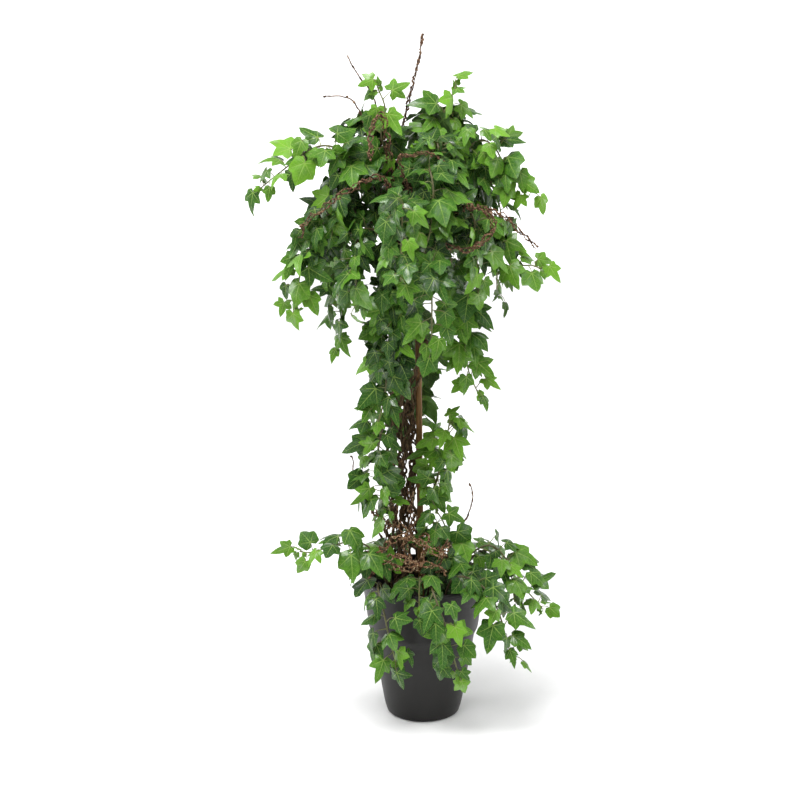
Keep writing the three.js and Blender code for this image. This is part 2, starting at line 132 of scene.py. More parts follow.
# Vines with a place of their own: name, way the leaves face, how young the leaves look, route.
# Youth sets how light the leaves are: partly their own colour, partly painted light and shade
# for where the vine hangs.
NAMED_VINES = [
    ("vine_spray_left", (-0.3, -0.9, 0.3), 0.5, [(-48, -16, 566), (-66, -28, 600),
     (-84, -38, 624), (-103, -40, 630), (-122, -40, 622), (-139, -40, 608), (-154, -40, 596),
     (-168, -40, 584)]),
    ("vine_spray_upper_right", (0.3, -0.9, 0.3), 0.56, [(22, -14, 568), (30, -20, 600),
     (42, -22, 624), (58, -22, 632), (72, -20, 622), (82, -20, 602), (94, -20, 588),
     (108, -20, 577)]),
    ("vine_top_right", (0.3, -0.6, 0.5), 0.58, [(-2, -8, 588), (4, -6, 612), (12, -2, 640),
     (23, 0, 662), (31, 0, 682)]),
    ("vine_front_face", (0, -1, 0.3), 0.42, [(2, -36, 564), (4, -58, 602), (4, -80, 616),
     (8, -96, 598), (6, -102, 562), (-4, -104, 528)]),
    ("vine_spray_right", (0.2, -0.8, 0.5), 0.5, [(26, -12, 548), (50, -22, 538), (78, -26, 518),
     (96, -30, 504), (110, -30, 503), (119, -30, 499)]),
    ("vine_hanging_left", (-0.3, -0.9, 0.2), 0.46, [(-49, -14, 540), (-72, -32, 560),
     (-96, -40, 560), (-115, -42, 543), (-123, -45, 520), (-128, -45, 490), (-130, -45, 462)]),
    ("vine_hanging_right", (0.2, -0.9, 0.2), 0.6, [(12, -26, 520), (28, -38, 500),
     (38, -40, 470), (41, -40, 436), (45, -40, 396), (56, -40, 368)]),
    ("vine_cascade", (-0.2, -0.9, 0.2), 0.34, [(-22, -36, 522), (-30, -48, 482), (-32, -50, 440),
     (-38, -50, 404), (-42, -50, 362), (-54, -50, 324)]),
    ("vine_trunk_right", (0.3, -0.9, 0.2), 0.82, [(6, -3, 240), (15, -16, 272), (22, -20, 304),
     (27, -20, 334)]),
    ("vine_trunk_left", (-0.4, -0.9, 0.2), 0.54, [(-38, -8, 326), (-44, -26, 324),
     (-48, -36, 298), (-42, -38, 262), (-34, -38, 234)]),
    ("vine_trunk_back", (0, 1, 0.2), 0.46, [(-18, 16, 430), (-10, 36, 420), (-4, 42, 380),
     (-10, 42, 340), (-20, 40, 306)]),
    ("vine_trunk_foot", (0.1, -0.9, 0.3), 0.42, [(12, -22, 133), (20, -26, 160), (26, -24, 190),
     (22, -22, 218), (12, -20, 236)]),
    ("vine_spray_low_left", (-0.2, -0.7, 0.7), 0.40, [(-34, -24, 133), (-42, -36, 168),
     (-56, -44, 200), (-76, -50, 210), (-98, -50, 204), (-118, -50, 198), (-130, -50, 199)]),
    ("vine_spray_low_right", (0.3, -0.6, 0.7), 0.5, [(32, -8, 133), (42, -10, 172),
     (68, -12, 192), (88, -18, 178), (108, -20, 146), (126, -20, 124)]),
    ("vine_trail_right", (0.4, -0.8, 0.3), 0.5, [(20, -34, 133), (30, -50, 168), (50, -62, 173),
     (68, -72, 160), (79, -76, 138), (86, -76, 112), (92, -76, 90)]),
    ("vine_trail_left", (-0.2, -1, 0.1), 0.38, [(-36, -22, 133), (-46, -46, 162), (-48, -68, 163),
     (-42, -82, 144), (-36, -80, 112), (-29, -76, 84)]),
    ("vine_trail_front", (0.1, -1, 0.1), 0.40, [(2, -36, 133), (6, -60, 164), (10, -86, 165),
     (20, -96, 140), (28, -92, 108), (36, -86, 76)]),
    ("vine_top_left", (-0.1, -0.8, 0.4), 0.52, [(-30, -10, 584), (-38, -18, 612),
     (-44, -22, 640), (-40, -20, 664), (-48, -18, 686)]),
]
# Vines that leave the pot low: bearing in degrees, radius and height of the arch, of the tip.
SKIRT_VINES = [
    (8, 99, 178, 118), (59, 96, 168, 101), (111, 104, 171, 99), (158, 70, 180, 150),
    (266, 72, 172, 142), (322, 57, 172, 158),
]
# Partly the leaves' own colour, partly painted shade where the crown and skirt hang low.
CROWN_YOUTH = 0.39
SKIRT_YOUTH = 0.40

# Bare twigs: name, strands twisted together, how far a strand swings off its route, routes.
TWIGS = [
    ("twig_top_tall", 3, 1.0, [(-26, 4, 588), (-22, 2, 640), (-14, 0, 676), (-7, 0, 706),
     (-2, 0, 736)]),
    ("twig_top_left", 1, 0.8, [(-40, 8, 580), (-46, -2, 640), (-52, -8, 672), (-64, -10, 692),
     (-79, -10, 716)]),
    ("twig_top_small", 1, 0.8, [(-50, 2, 572), (-60, -12, 640), (-70, -18, 668),
     (-84, -20, 676), (-101, -20, 677)]),
    ("twig_arm_left", 3, 2.8, [(-30, -30, 566), (-44, -78, 606), (-76, -96, 597),
     (-104, -92, 577), (-120, -80, 560), (-125, -72, 544)]),
    ("twig_loop_upper", 3, 2.8, [(-34, -22, 580), (-38, -40, 640), (-44, -48, 664),
     (-54, -66, 650), (-54, -88, 628)]),
    ("twig_front", 3, 2.2, [(-8, -36, 562), (-26, -84, 624), (-10, -90, 632), (4, -84, 632),
     (18, -78, 622)]),
    ("twig_loop_right", 4, 3.0, [(20, -26, 556), (52, -84, 578), (68, -86, 562), (60, -92, 546),
     (40, -97, 536), (20, -96, 541)]),
    ("twig_right_down", 3, 1.8, [(26, -20, 560), (72, -50, 564), (97, -52, 543),
     (114, -46, 526)]),
    ("twig_trunk_left", 1, 0.6, [(-46, -8, 200), (-60, -14, 250), (-72, -20, 268),
     (-75, -20, 294)]),
    ("twig_trunk_right", 1, 0.6, [(22, -6, 160), (40, -2, 206), (52, 0, 238), (49, 0, 256)]),
    ("twig_tangle", 3, 3.4, [(-54, -6, 138), (-58, -30, 166), (-40, -52, 184), (-14, -54, 180),
     (2, -48, 196), (14, -30, 214), (4, -12, 226), (-12, -16, 212), (-20, -34, 200),
     (-6, -44, 172), (14, -50, 166)],
     [(-26, -14, 290), (-32, -20, 276), (-31, -24, 250), (-30, -22, 232), (-34, -30, 216)],
     [(-54, -24, 236), (-46, -30, 232), (-40, -28, 222), (-30, -34, 226), (-20, -40, 218),
      (-8, -40, 208), (4, -36, 196)],
     [(-4, -38, 216), (8, -40, 204), (20, -36, 190), (24, -34, 180), (16, -40, 172),
      (18, -46, 196), (26, -40, 206)],
     [(-12, -18, 255), (-16, -20, 240), (-10, -22, 226), (-14, -26, 210), (-8, -30, 196)],
     [(-60, -36, 188), (-44, -56, 204), (-25, -62, 220), (-6, -62, 214), (10, -60, 202),
      (24, -56, 198)],
     [(-50, -50, 184), (-30, -62, 198), (-10, -64, 190), (8, -62, 188), (22, -58, 178)]),
]

WOODY = {"stems": 3, "twist": 7.5, "turns": 1.3, "steps": 22, "waver": 0.12, "wavers": 9}
WOODY_AXIS = [(-24, 0, 92), (-29, 0, 190), (-27, 0, 260), (-26, 0, 330), (-24, 0, 420),
              (-22, 0, 470), (-22, 0, 521)]

# Loose bundles that leave the woody stems: one clasps the stake, two run down beside it.
LOOSE_BUNDLES = [
    [(-10, -4, 442), (-4, -7, 425), (-2, -7, 405), (-5, -7, 386), (-13, -3, 360),
     (-15, 4, 325), (-11, 7, 290), (-13, 6, 250), (-20, 2, 215)],
    [(-20, 4, 344), (-13, 5, 316), (-11, 6, 284), (-14, 4, 250), (-20, 2, 222)],
    [(-16, 4, 250), (-12, 6, 215), (-10, 6, 180), (-13, 4, 138)],
]


def unit(vector):
    return vector / np.linalg.norm(vector)


def drawn(random, start, spread):
    """A number between the start and the start plus the spread, which may be negative."""
    return start + spread * random()


def across(vector, normal):
    """The direction of the part of a vector that lies across a normal."""
    return unit(vector - normal * (vector @ normal))


def in_mm(box):
    """The low and the high corner of a box, in millimetres."""
    return [np.array(corner) / MM for corner in box]


def seeded(seed):
    """The same run of numbers between 0 and 1 for the same seed."""
    modulus = 2147483647
    state = (seed * 48271 + 11) % modulus

    def draw():
        nonlocal state
        state = (state * 16807) % modulus
        return state / modulus

    draw()
    draw()
    return draw


def scatter(random):
    return np.array([random() * 2 - 1, random() * 2 - 1, random() * 2 - 1])


def curve_point(points, share):
    """A place on the smooth curve through the points, at a share of its stretches."""
    place = share * (len(points) - 1)
    first = min(int(place), len(points) - 2)
    t = place - first
    start, end = points[first], points[first + 1]
    before = points[first - 1] if first > 0 else 2 * start - end
    after = points[first + 2] if first + 2 < len(points) else 2 * end - start
    leave, arrive = (end - before) / 2, (after - start) / 2
    return (start + leave * t + (3 * (end - start) - 2 * leave - arrive) * t ** 2
            + (2 * (start - end) + leave + arrive) * t ** 3)


class Route:
    """A smooth curve through points, measured along its length."""

    def __init__(self, points, divisions=200):
        self.points = [np.array(point, float) for point in points]
        self.shares = np.linspace(0, 1, divisions + 1)
        places = np.array([curve_point(self.points, share) for share in self.shares])
        steps = np.linalg.norm(np.diff(places, axis=0), axis=1)
        self.run = np.concatenate([[0], np.cumsum(steps)])
        self.length = self.run[-1]

    def spaced(self, stretches):
        """Places spread evenly along the curve."""
        along = np.linspace(0, self.length, stretches + 1)
        return [curve_point(self.points, share) for share in np.interp(along, self.run, self.shares)]

    def every(self, step):
        """Places about a step apart along the curve."""
        return self.spaced(int(self.length / step))


def crown_route(index):
    """A crown vine leaves the knot, runs out to the head's face and droops along it."""
    arch = CROWN_ARCH
    turn = index * GOLDEN_ANGLE + CROWN_ORDER["first_turn"]
    lift = CROWN_ORDER["highest"] - CROWN_ORDER["run"] * (index + 0.5) / CROWN["vines"]
    level = math.sqrt(1 - lift * lift)
    heading = np.array([level * math.cos(turn), level * math.sin(turn), lift])
    flat = np.array([math.cos(turn), math.sin(turn), 0])
    is_long = index % CROWN["long_every"] == CROWN["long_every"] - 1
    depth = CROWN["long_reach"] if is_long else CROWN["reach"]
    reach = heading * np.array([CROWN["reach"], depth, CROWN["height"]])
    centre = np.array(CROWN["centre"], float)
    start = np.array(KNOT["centre"]) + heading * np.array(KNOT["radii"]) * arch["off_knot"]
    spread = arch["spread"] * max(lift, 0)

    def hung(outwards, drop):
        return centre + reach + flat * outwards - UP * drop

    return [start, centre + reach * arch["inner"], centre + reach * arch["outer"] + UP * arch["arch"],
            hung(arch["stand_off"] * (1 - level), CROWN["droop"] * arch["bend"]),
            hung(spread * arch["low_spread"], CROWN["droop"] * arch["low"]),
            hung(spread, CROWN["droop"])]


def skirt_route(bearing, reach, rise, end):
    """A skirt vine rises from the soil, arches to the rim and droops past it."""
    turn = math.radians(bearing)
    outline = [(0, SOIL_TOP + 2), (SKIRT["shoulder"], rise - SKIRT["bow"]), (SKIRT["crest"], rise),
               (SKIRT["fall"], (rise + end) / 2 + SKIRT["bow"]), (1, end)]
    points = []
    for share, height in outline:
        radius = SKIRT["start"] + (reach - SKIRT["start"]) * share
        points.append((radius * math.cos(turn), radius * math.sin(turn), height))
    return points


class Vine:
    """One vine's route, its straight stretches, and the way its leaves face."""

    def __init__(self, name, points, facing, youth, seed):
        self.name = name
        self.route = Route(points)
        self.spine = self.route.spaced(int(self.route.length / STEM["step"] + 0.5))
        self.sites = int(self.route.length // SITES["step"])
        self.facing = facing
        self.youth = youth
        self.seed = seed

    def spine_point(self, share):
        place = min(max(share, 0), LAST_SHARE) * (len(self.spine) - 1)
        first = min(int(place), len(self.spine) - 2)
        return self.spine[first] + (self.spine[first + 1] - self.spine[first]) * (place - first)

    def heading(self, share):
        return unit(self.spine_point(share + LOOK_SHARE) - self.spine_point(share - LOOK_SHARE))


def vine_list():
    """Every vine, in the order in which the frame grew them."""
    grown = []

    def add(name, points, facing, youth):
        grown.append(Vine(name, points, facing, youth,
                          seed=SEEDS["first"] + SEEDS["step"] * len(grown)))

    def away_from(hub, rise):
        return lambda place: unit((place - hub) * np.array([1, 1, rise]))

    for name, facing, youth, route in NAMED_VINES:
        add(name, route, lambda place, way=unit(np.array(facing)): way, youth)
    head = np.array(CROWN["centre"], float) - UP * CROWN["hub_drop"]
    for index in range(CROWN["vines"]):
        add(f"vine_crown_{index + 1:02d}", crown_route(index), away_from(head, CROWN["face_rise"]),
            CROWN_YOUTH)
    for index, vine in enumerate(SKIRT_VINES):
        add(f"vine_skirt_{index + 1}", skirt_route(*vine), away_from(UP * SKIRT["hub"], 1),
            SKIRT_YOUTH)
    return grown


def leaf_seat(vine, site, attempt):
    """Where one leaf's petiole starts, where its blade starts, and the blade's own axes."""
    random = seeded(vine.seed * 1000 + site * 10 + attempt)
    share = (site + 1) / vine.sites
    middle = vine.spine_point(share)
    along = vine.heading(share)
    normal = unit(vine.facing(middle) + UP * HABIT["face_up"]
                  + scatter(random) * HABIT["face_stray"])
    side = unit(np.cross(along, normal))
    hand = 1 if site % 2 == 0 else -1
    ahead = site + 1 == vine.sites
    forward = along * HABIT["stalk_ahead"] if ahead else side * hand * HABIT["stalk_side"]
    stalk = unit(forward + normal * HABIT["stalk_out"] + along * HABIT["stalk_along"]
                 + scatter(random) * HABIT["stalk_stray"])
    stalk = unit(stalk + normal * max(HABIT["stalk_least"] - stalk @ normal, 0))
    hang = (stalk * HABIT["hang_stalk"] - UP * HABIT["hang_down"] + along * HABIT["hang_along"]
            + scatter(random) * HABIT["hang_stray"])
    tip = across(hang, normal)
    maturity = min((1 - share) / SITES["young_share"], 1)
    age = SITES["youngest"] + (1 - SITES["youngest"]) * maturity
    width = LEAF["width"] * age * (1 + LEAF["spread"] * (random() * 2 - 1))
    petiole = LEAF["petiole"] + LEAF["petiole_spread"] * random()
    return {"share": share, "root": middle, "base": middle + stalk * petiole, "stalk": stalk,
            "normal": normal, "tip": tip, "width": width}


def frame_tree(name):
    """The corners of one of the frame's solids, in millimetres, ready to be searched."""
    corners = frame["nodes"][name].data.vertices
    tree = KDTree(len(corners))
    for corner in corners:
        tree.insert(corner.co / MM, corner.index)
    tree.balance()
    return tree


def frame_leaves(vine):
    """The leaves that the frame's vine has, found by the place of their tips."""
    corners = frame_tree(vine.name)
    found = {}
    for site in range(vine.sites):
        for attempt in range(SITES["tries"]):
            seat = leaf_seat(vine, site, attempt)
            width = seat["width"]
            sag = width * BEND["droop"] * BLADE_TIP ** 2
            tip = seat["base"] + seat["tip"] * BLADE_TIP * width - seat["normal"] * sag
            if corners.find(Vector(tip))[2] < TIP_MATCH:
                found[site] = seat
                break
    if not found:
        raise RuntimeError(f"{vine.name} has no leaf where the frame's solid has one")
    return found

# ---------------------------------------------------------------------------------------------
# Settings a user would change.
# ---------------------------------------------------------------------------------------------


def length(name, description, default):
    return FloatProperty(name=name, description=description, default=default, unit="LENGTH",
                         precision=5)


def colour(name, description, default):
    return FloatVectorProperty(name=name, description=description, default=default, size=3,
                               subtype="COLOR", min=0, max=1)


class PottedIvyPot(PropertyGroup):
    segments: IntProperty(name="Segments", description="Facets round the pot", default=144)
    lip: length("Lip", "Thickness of the rolled lip", 0.0034)
    wall: length("Wall", "Thickness of the pot's wall", 0.0026)
    shell: colour("Plastic", "Colour of the pot", (0.0105, 0.0098, 0.0090))


class PottedIvySoil(PropertyGroup):
    crumbs: IntProperty(name="Crumbs", description="Loose crumbs of soil", default=900)
    crumb: length("Crumb", "Typical radius of a crumb", 0.0014)
    swell: length("Swell", "How far the surface rises and falls", 0.0030)
    earth: colour("Earth", "Colour of the soil", (0.020, 0.014, 0.009))
    moss: colour("Moss", "Colour of the moss on the soil", (0.022, 0.038, 0.012))


class PottedIvyWood(PropertyGroup):
    stake_sides: IntProperty(name="Stake sides", description="Facets round the stake", default=24)
    stem_strands: IntProperty(name="Stem strands", description="Strands in a woody stem",
                              default=5)
    stem_strand: length("Stem strand", "Radius of one woody strand", 0.00120)
    stem_wander: length("Stem wander", "How far strands twist off the stem's line", 0.0046)
    nest_strands: IntProperty(name="Nest strands", description="Twigs wound into the knot",
                              default=64)
    stake: colour("Stake", "Colour of the stake", (0.170, 0.088, 0.028))
    bark: colour("Bark", "Colour of the woody stems", (0.085, 0.054, 0.028))
    papery: colour("Papery twig", "Colour of the bare twigs", (0.145, 0.070, 0.033))
    twig_strand: length("Twig strand", "Radius of one twig strand", 0.00060)
    bud: length("Bud", "Radius of a bud on a bare twig", 0.00110)


class PottedIvyLeaves(PropertyGroup):
    thickness: FloatProperty(name="Thickness", description="A blade's thickness over its width",
                             default=0.022)
    pleat: FloatProperty(name="Pleat", description="How far a blade rises between its veins",
                         default=0.030)
    stem_sides: IntProperty(name="Stem sides", description="Facets round a stem", default=7)
    petiole: length("Petiole", "Radius of a leaf stalk", 0.00058)
    stem_foot: length("Stem foot", "Radius of a vine where it starts", 0.00135)
    stem_tip: length("Stem tip", "Radius of a vine at its end", 0.00070)
    old_leaf: colour("Old leaf", "Colour of the oldest leaves", (0.0060, 0.0310, 0.0080))
    full_leaf: colour("Full leaf", "Colour of grown leaves", (0.0260, 0.0960, 0.0080))
    young_leaf: colour("Young leaf", "Colour of young leaves", (0.1300, 0.3100, 0.0200))
    vein: colour("Vein", "Colour of the veins", (0.2900, 0.4400, 0.0900))
    stalk: colour("Stalk", "Colour of the leaf stalks", (0.200, 0.230, 0.060))
    runner: colour("Runner", "Colour of the vines' older stems", (0.060, 0.036, 0.020))


class PottedIvyStage(PropertyGroup):
    floor: colour("Floor", "Colour of the floor and backdrop", (0.90, 0.90, 0.90))
    daylight: FloatProperty(name="Daylight", description="Strength of the even light", default=0.50)
    key: FloatProperty(name="Key", description="Power of the large light above, in watts",
                       default=100)
    backdrop: FloatProperty(name="Backdrop", description="Power of the backdrop's light, in watts",
                            default=90)
    sides: FloatProperty(name="Sides", description="Power of each side light, in watts",
                         default=26)


class PottedIvySettings(PropertyGroup):
    pot: PointerProperty(type=PottedIvyPot)
    soil: PointerProperty(type=PottedIvySoil)
    wood: PointerProperty(type=PottedIvyWood)
    leaves: PointerProperty(type=PottedIvyLeaves)
    stage: PointerProperty(type=PottedIvyStage)


# ---------------------------------------------------------------------------------------------
# Node trees, in few words.
# ---------------------------------------------------------------------------------------------


def fill(tree, node, sockets):
    """Gives a node's sockets their values, each a constant or another node's output."""
    for key, value in sockets.items():
        socket = node.inputs[key]
        if isinstance(value, bpy.types.NodeSocket):
            tree.links.new(value, socket)
        else:
            socket.default_value = value


def put(tree, kind, sockets=None, **settings):
    """A node of one kind, with its settings and its sockets' values."""
    node = tree.nodes.new(kind)
    for name, value in settings.items():
        setattr(node, name, value)
    fill(tree, node, sockets or {})
    return node


def new(tree, kind, sockets=None, **settings):
    """The first output of a new node."""
    return put(tree, kind, sockets, **settings).outputs[0]


def calc(tree, operation, *values, clamp=False):
    """One step of arithmetic on numbers."""
    node = put(tree, "ShaderNodeMath", dict(enumerate(values)), operation=operation,
               use_clamp=clamp)
    return node.outputs[0]


def product(tree, first, *factors):
    """Numbers multiplied from left to right."""
    for factor in factors:
        first = calc(tree, "MULTIPLY", first, factor)
    return first


def vector_calc(tree, operation, *values):
    """One step of arithmetic on vectors. A number given last to SCALE is its factor."""
    node = put(tree, "ShaderNodeVectorMath", operation=operation)
    for index, value in enumerate(values):
        scaled = operation == "SCALE" and index == 1
        fill(tree, node, {"Scale" if scaled else index: value})
    return node.outputs["Value" if operation in ("LENGTH", "DOT_PRODUCT") else "Vector"]


def weighted_sum(tree, terms):
    """The sum of products, each given as the numbers to multiply."""
    total = 0.0
    for term in terms:
        total = calc(tree, "ADD", total, product(tree, *term))
    return total


def opaque(shade):
    """The four channels of a grey or of a colour of three channels."""
    return (shade, shade, shade, 1.0) if isinstance(shade, float) else (*shade, 1.0)


def shaded(colour, factor, most=1.0):
    """A colour made darker or lighter, with no channel over the most."""
    return tuple(min(factor * channel, most) for channel in colour)


def ramp(tree, amount, stops):
    """Colours or greys along a 0 to 1 amount, each stop a place and a colour."""
    node = put(tree, "ShaderNodeValToRGB", {"Fac": amount})
    elements = node.color_ramp.elements
    while len(elements) < len(stops):
        elements.new(1.0)
    for element, (place, shade) in zip(elements, stops):
        element.position = place
        element.color = opaque(shade)
    return node.outputs["Color"]


def blend_colours(tree, amount, first, second, way="MIX"):
    node = put(tree, "ShaderNodeMix", data_type="RGBA", blend_type=way)
    plain = [value if isinstance(value, bpy.types.NodeSocket) else opaque(value)
             for value in (first, second)]
    fill(tree, node, {0: amount, 6: plain[0], 7: plain[1]})
    return node.outputs[2]


def split(tree, vector):
    """A vector's X, Y and Z."""
    return put(tree, "ShaderNodeSeparateXYZ", {"Vector": vector}).outputs


def noise(tree, place, scale, detail, roughness=0.5, output="Fac"):
    node = put(tree, "ShaderNodeTexNoise", {"Vector": place, "Scale": scale, "Detail": detail,
                                            "Roughness": roughness})
    return node.outputs[output]


def smooth_step(tree, value, low, high, start=0.0, end=1.0):
    """A soft change from start to end as the value goes from low to high."""
    return new(tree, "ShaderNodeMapRange",
               {"Value": value, "From Min": low, "From Max": high, "To Min": start, "To Max": end},
               interpolation_type="SMOOTHSTEP")


def new_group(name, kind, inputs, outputs):
    """An empty node group with named sockets, and its input and output nodes."""
    tree = bpy.data.node_groups.new(name, kind)
    for label, sort, default in inputs:
        socket = tree.interface.new_socket(label, in_out="INPUT", socket_type=f"NodeSocket{sort}")
        if default is not None:
            socket.default_value = default
    for label, sort in outputs:
        tree.interface.new_socket(label, in_out="OUTPUT", socket_type=f"NodeSocket{sort}")
    return tree, tree.nodes.new("NodeGroupInput").outputs, tree.nodes.new("NodeGroupOutput")


def geometry_tree(name, inputs):
    """A Geometry Nodes tree that takes one geometry and gives one back."""
    sockets = [("Geometry", "Geometry", None)] + inputs
    return new_group(name, "GeometryNodeTree", sockets, [("Geometry", "Geometry")])


def named(tree, name, data_type="FLOAT"):
    """An attribute of the geometry, by name."""
    node = new(tree, "GeometryNodeInputNamedAttribute", {"Name": name}, data_type=data_type)
    return node


def run_tree(group, skeleton, name, values):
    """The plain mesh that a Geometry Nodes tree makes from a skeleton mesh."""
    tree = group_named(group)
    carrier = bpy.data.objects.new(name, skeleton)
    modifier = carrier.modifiers.new("Grow", "NODES")
    modifier.node_group = tree
    sockets = {item.name: item.identifier for item in tree.interface.items_tree
               if item.in_out == "INPUT"}
    for label, value in values.items():
        modifier[sockets[label]] = value
    bpy.context.scene.collection.objects.link(carrier)
    depsgraph = bpy.context.evaluated_depsgraph_get()
    mesh = bpy.data.meshes.new_from_object(
        carrier.evaluated_get(depsgraph), preserve_all_data_layers=True, depsgraph=depsgraph)
    carrier.modifiers.clear()
    bpy.data.objects.remove(carrier)
    bpy.data.meshes.remove(skeleton)
    if not mesh.polygons:
        raise RuntimeError(f"{name} came out empty")
    mesh.name = name
    return mesh


def keep_attributes(mesh, kept):
    """Drops what the nodes needed and a finished piece doesn't."""
    hidden = ("position", "sharp_edge", "sharp_face", "material_index")
    for name in [layer.name for layer in mesh.attributes]:
        if name not in kept and name not in hidden and not name.startswith("."):
            mesh.attributes.remove(mesh.attributes[name])
    while None in mesh.materials[:]:
        mesh.materials.pop(index=mesh.materials[:].index(None))


def add_piece(name, mesh, nodes, kept=()):
    """Links a finished mesh as a piece that stands for the frame's nodes."""
    keep_attributes(mesh, kept)
    piece = bpy.data.objects.new(name, mesh)
    bpy.context.scene.collection.objects.link(piece)
    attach(piece, "root")
    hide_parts(*nodes)
    return piece


def mesh_from(name, corners, edges=(), faces=(), attributes=()):
    """A mesh in metres, with its own point attributes: name, data type and values."""
    mesh = bpy.data.meshes.new(name)
    mesh.from_pydata([tuple(corner) for corner in corners], list(edges), list(faces))
    for label, data_type, values in attributes:
        attribute = mesh.attributes.new(label, data_type, "POINT")
        key = "vector" if data_type == "FLOAT_VECTOR" else "value"
        attribute.data.foreach_set(key, np.ravel(values))
    return mesh


# ---------------------------------------------------------------------------------------------
# Effects that several finishes share.
# ---------------------------------------------------------------------------------------------


def mottle_group():
    """Soft blotches: a value round 0.5 that changes over the surface."""
    tree, given, out = new_group(
        "Mottle", "ShaderNodeTree",
        [("Vector", "Vector", None), ("Scale", "Float", 60.0),
         ("Contrast", "Float", 1.0)],
        [("Value", "Float")])
    blotch = noise(tree, given["Vector"], given["Scale"], 4.0, 0.6)
    centred = calc(tree, "SUBTRACT", blotch, 0.5)
    fill(tree, out, {"Value": calc(tree, "MULTIPLY_ADD", centred, given["Contrast"], 0.5,
                                   clamp=True)})
    return tree


def fibre_group():
    """Long fibres along the height: streaks for the colour and a height for the bump."""
    tree, given, out = new_group(
        "Fibre", "ShaderNodeTree",
        [("Vector", "Vector", None), ("Across", "Float", 900.0),
         ("Along", "Float", 60.0)],
        [("Streak", "Float"), ("Height", "Float")])
    stretch = new(tree, "ShaderNodeCombineXYZ",
                  {"X": given["Across"], "Y": given["Across"], "Z": given["Along"]})
    place = vector_calc(tree, "MULTIPLY", given["Vector"], stretch)
    streak = noise(tree, place, 1.0, 3.0, 0.55)
    fine = noise(tree, place, 2.7, 2.0, 0.6)
    height = weighted_sum(tree, [(streak, 0.7), (fine, 0.3)])
    fill(tree, out, {"Streak": streak, "Height": height})
    return tree


def sector(tree, angle, radius, bearing):
    """How far a point lies along and off a vein that leaves the stalk at a bearing, in degrees."""
    off = calc(tree, "SUBTRACT", angle, math.radians(bearing))
    along = calc(tree, "MULTIPLY", radius, calc(tree, "COSINE", off))
    aside = calc(tree, "ABSOLUTE", calc(tree, "MULTIPLY", radius, calc(tree, "SINE", off)))
    return along, aside


def vein_group():
    """A blade's veins: five main ones from the stalk, ribs that branch off them, and a fine net."""
    tree, given, out = new_group(
        "Ivy veins", "ShaderNodeTree", [("Vector", "Vector", None)],
        [("Main", "Float"), ("Rib", "Float"), ("Net", "Float")])
    place = vector_calc(tree, "SUBTRACT", given["Vector"], (0.5, UV_STALK, 0.0))
    place = vector_calc(tree, "MULTIPLY", place, (1 / UV_SCALE, 1 / UV_SCALE, 0.0))
    aside_ahead = split(tree, place)
    radius = vector_calc(tree, "LENGTH", place)
    angle = calc(tree, "ARCTAN2", calc(tree, "ABSOLUTE", aside_ahead["X"]), aside_ahead["Y"])
    main, rib = 0.0, 0.0
    for bearing, reach, spread in VEINS:
        along, aside = sector(tree, angle, radius, bearing)
        width = smooth_step(tree, along, 0.0, reach, 0.017, 0.005)
        line = smooth_step(tree, calc(tree, "DIVIDE", aside, width), 0.7, 1.5, 1.0, 0.0)
        ahead = smooth_step(tree, along, -0.01, 0.01)
        main = calc(tree, "MAXIMUM", main, calc(tree, "MULTIPLY", line, ahead))
        chevron = calc(tree, "MULTIPLY_ADD", aside, -0.9, along)
        teeth = calc(tree, "PINGPONG", chevron, 0.075)
        ridge = smooth_step(tree, teeth, 0.0, 0.013, 1.0, 0.0)
        near = smooth_step(tree, aside, spread * 0.4, spread, 1.0, 0.0)
        inside = calc(tree, "MULTIPLY", near, smooth_step(tree, along, 0.05, 0.12))
        rib = calc(tree, "MAXIMUM", rib, calc(tree, "MULTIPLY", ridge, inside))
    cells = new(tree, "ShaderNodeTexVoronoi", {"Vector": place, "Scale": 15.0},
                feature="DISTANCE_TO_EDGE")
    net = smooth_step(tree, cells, 0.0, 0.09, 1.0, 0.0)
    fill(tree, out, {"Main": main, "Rib": rib, "Net": net})
    return tree


UV_STALK = 0.30
UV_SCALE = 0.60
VEINS = [(0.0, 0.92, 0.26), (52.0, 0.62, 0.20), (114.0, 0.36, 0.14)]


def group_named(name):
    """The node group of that name, made the first time it is asked for."""
    return bpy.data.node_groups.get(name) or GROUPS[name]()


def use_group(tree, name, sockets):
    """Places a shared effect in a material."""
    return put(tree, "ShaderNodeGroup", sockets, node_tree=group_named(name)).outputs


def mottle(tree, place, scale, contrast):
    return use_group(tree, "Mottle", {"Vector": place, "Scale": scale,
                                      "Contrast": contrast})["Value"]


def new_finish(name):
    """An empty material with its Principled BSDF, and the object's own coordinates."""
    finish = bpy.data.materials.new(f"{name}_finish")
    finish.use_nodes = True
    tree = finish.node_tree
    tree.nodes.clear()
    shader = tree.nodes.new("ShaderNodeBsdfPrincipled")
    output = tree.nodes.new("ShaderNodeOutputMaterial")
    tree.links.new(shader.outputs["BSDF"], output.inputs["Surface"])
    place = tree.nodes.new("ShaderNodeTexCoord").outputs["Object"]
    return finish, tree, shader, place


def bump(tree, height, distance, strength=1.0):
    return new(tree, "ShaderNodeBump",
               {"Height": height, "Distance": distance, "Strength": strength})


def attribute(tree, name):
    return put(tree, "ShaderNodeAttribute", attribute_name=name).outputs["Fac"]


# ---------------------------------------------------------------------------------------------
# Finishes.
# ---------------------------------------------------------------------------------------------


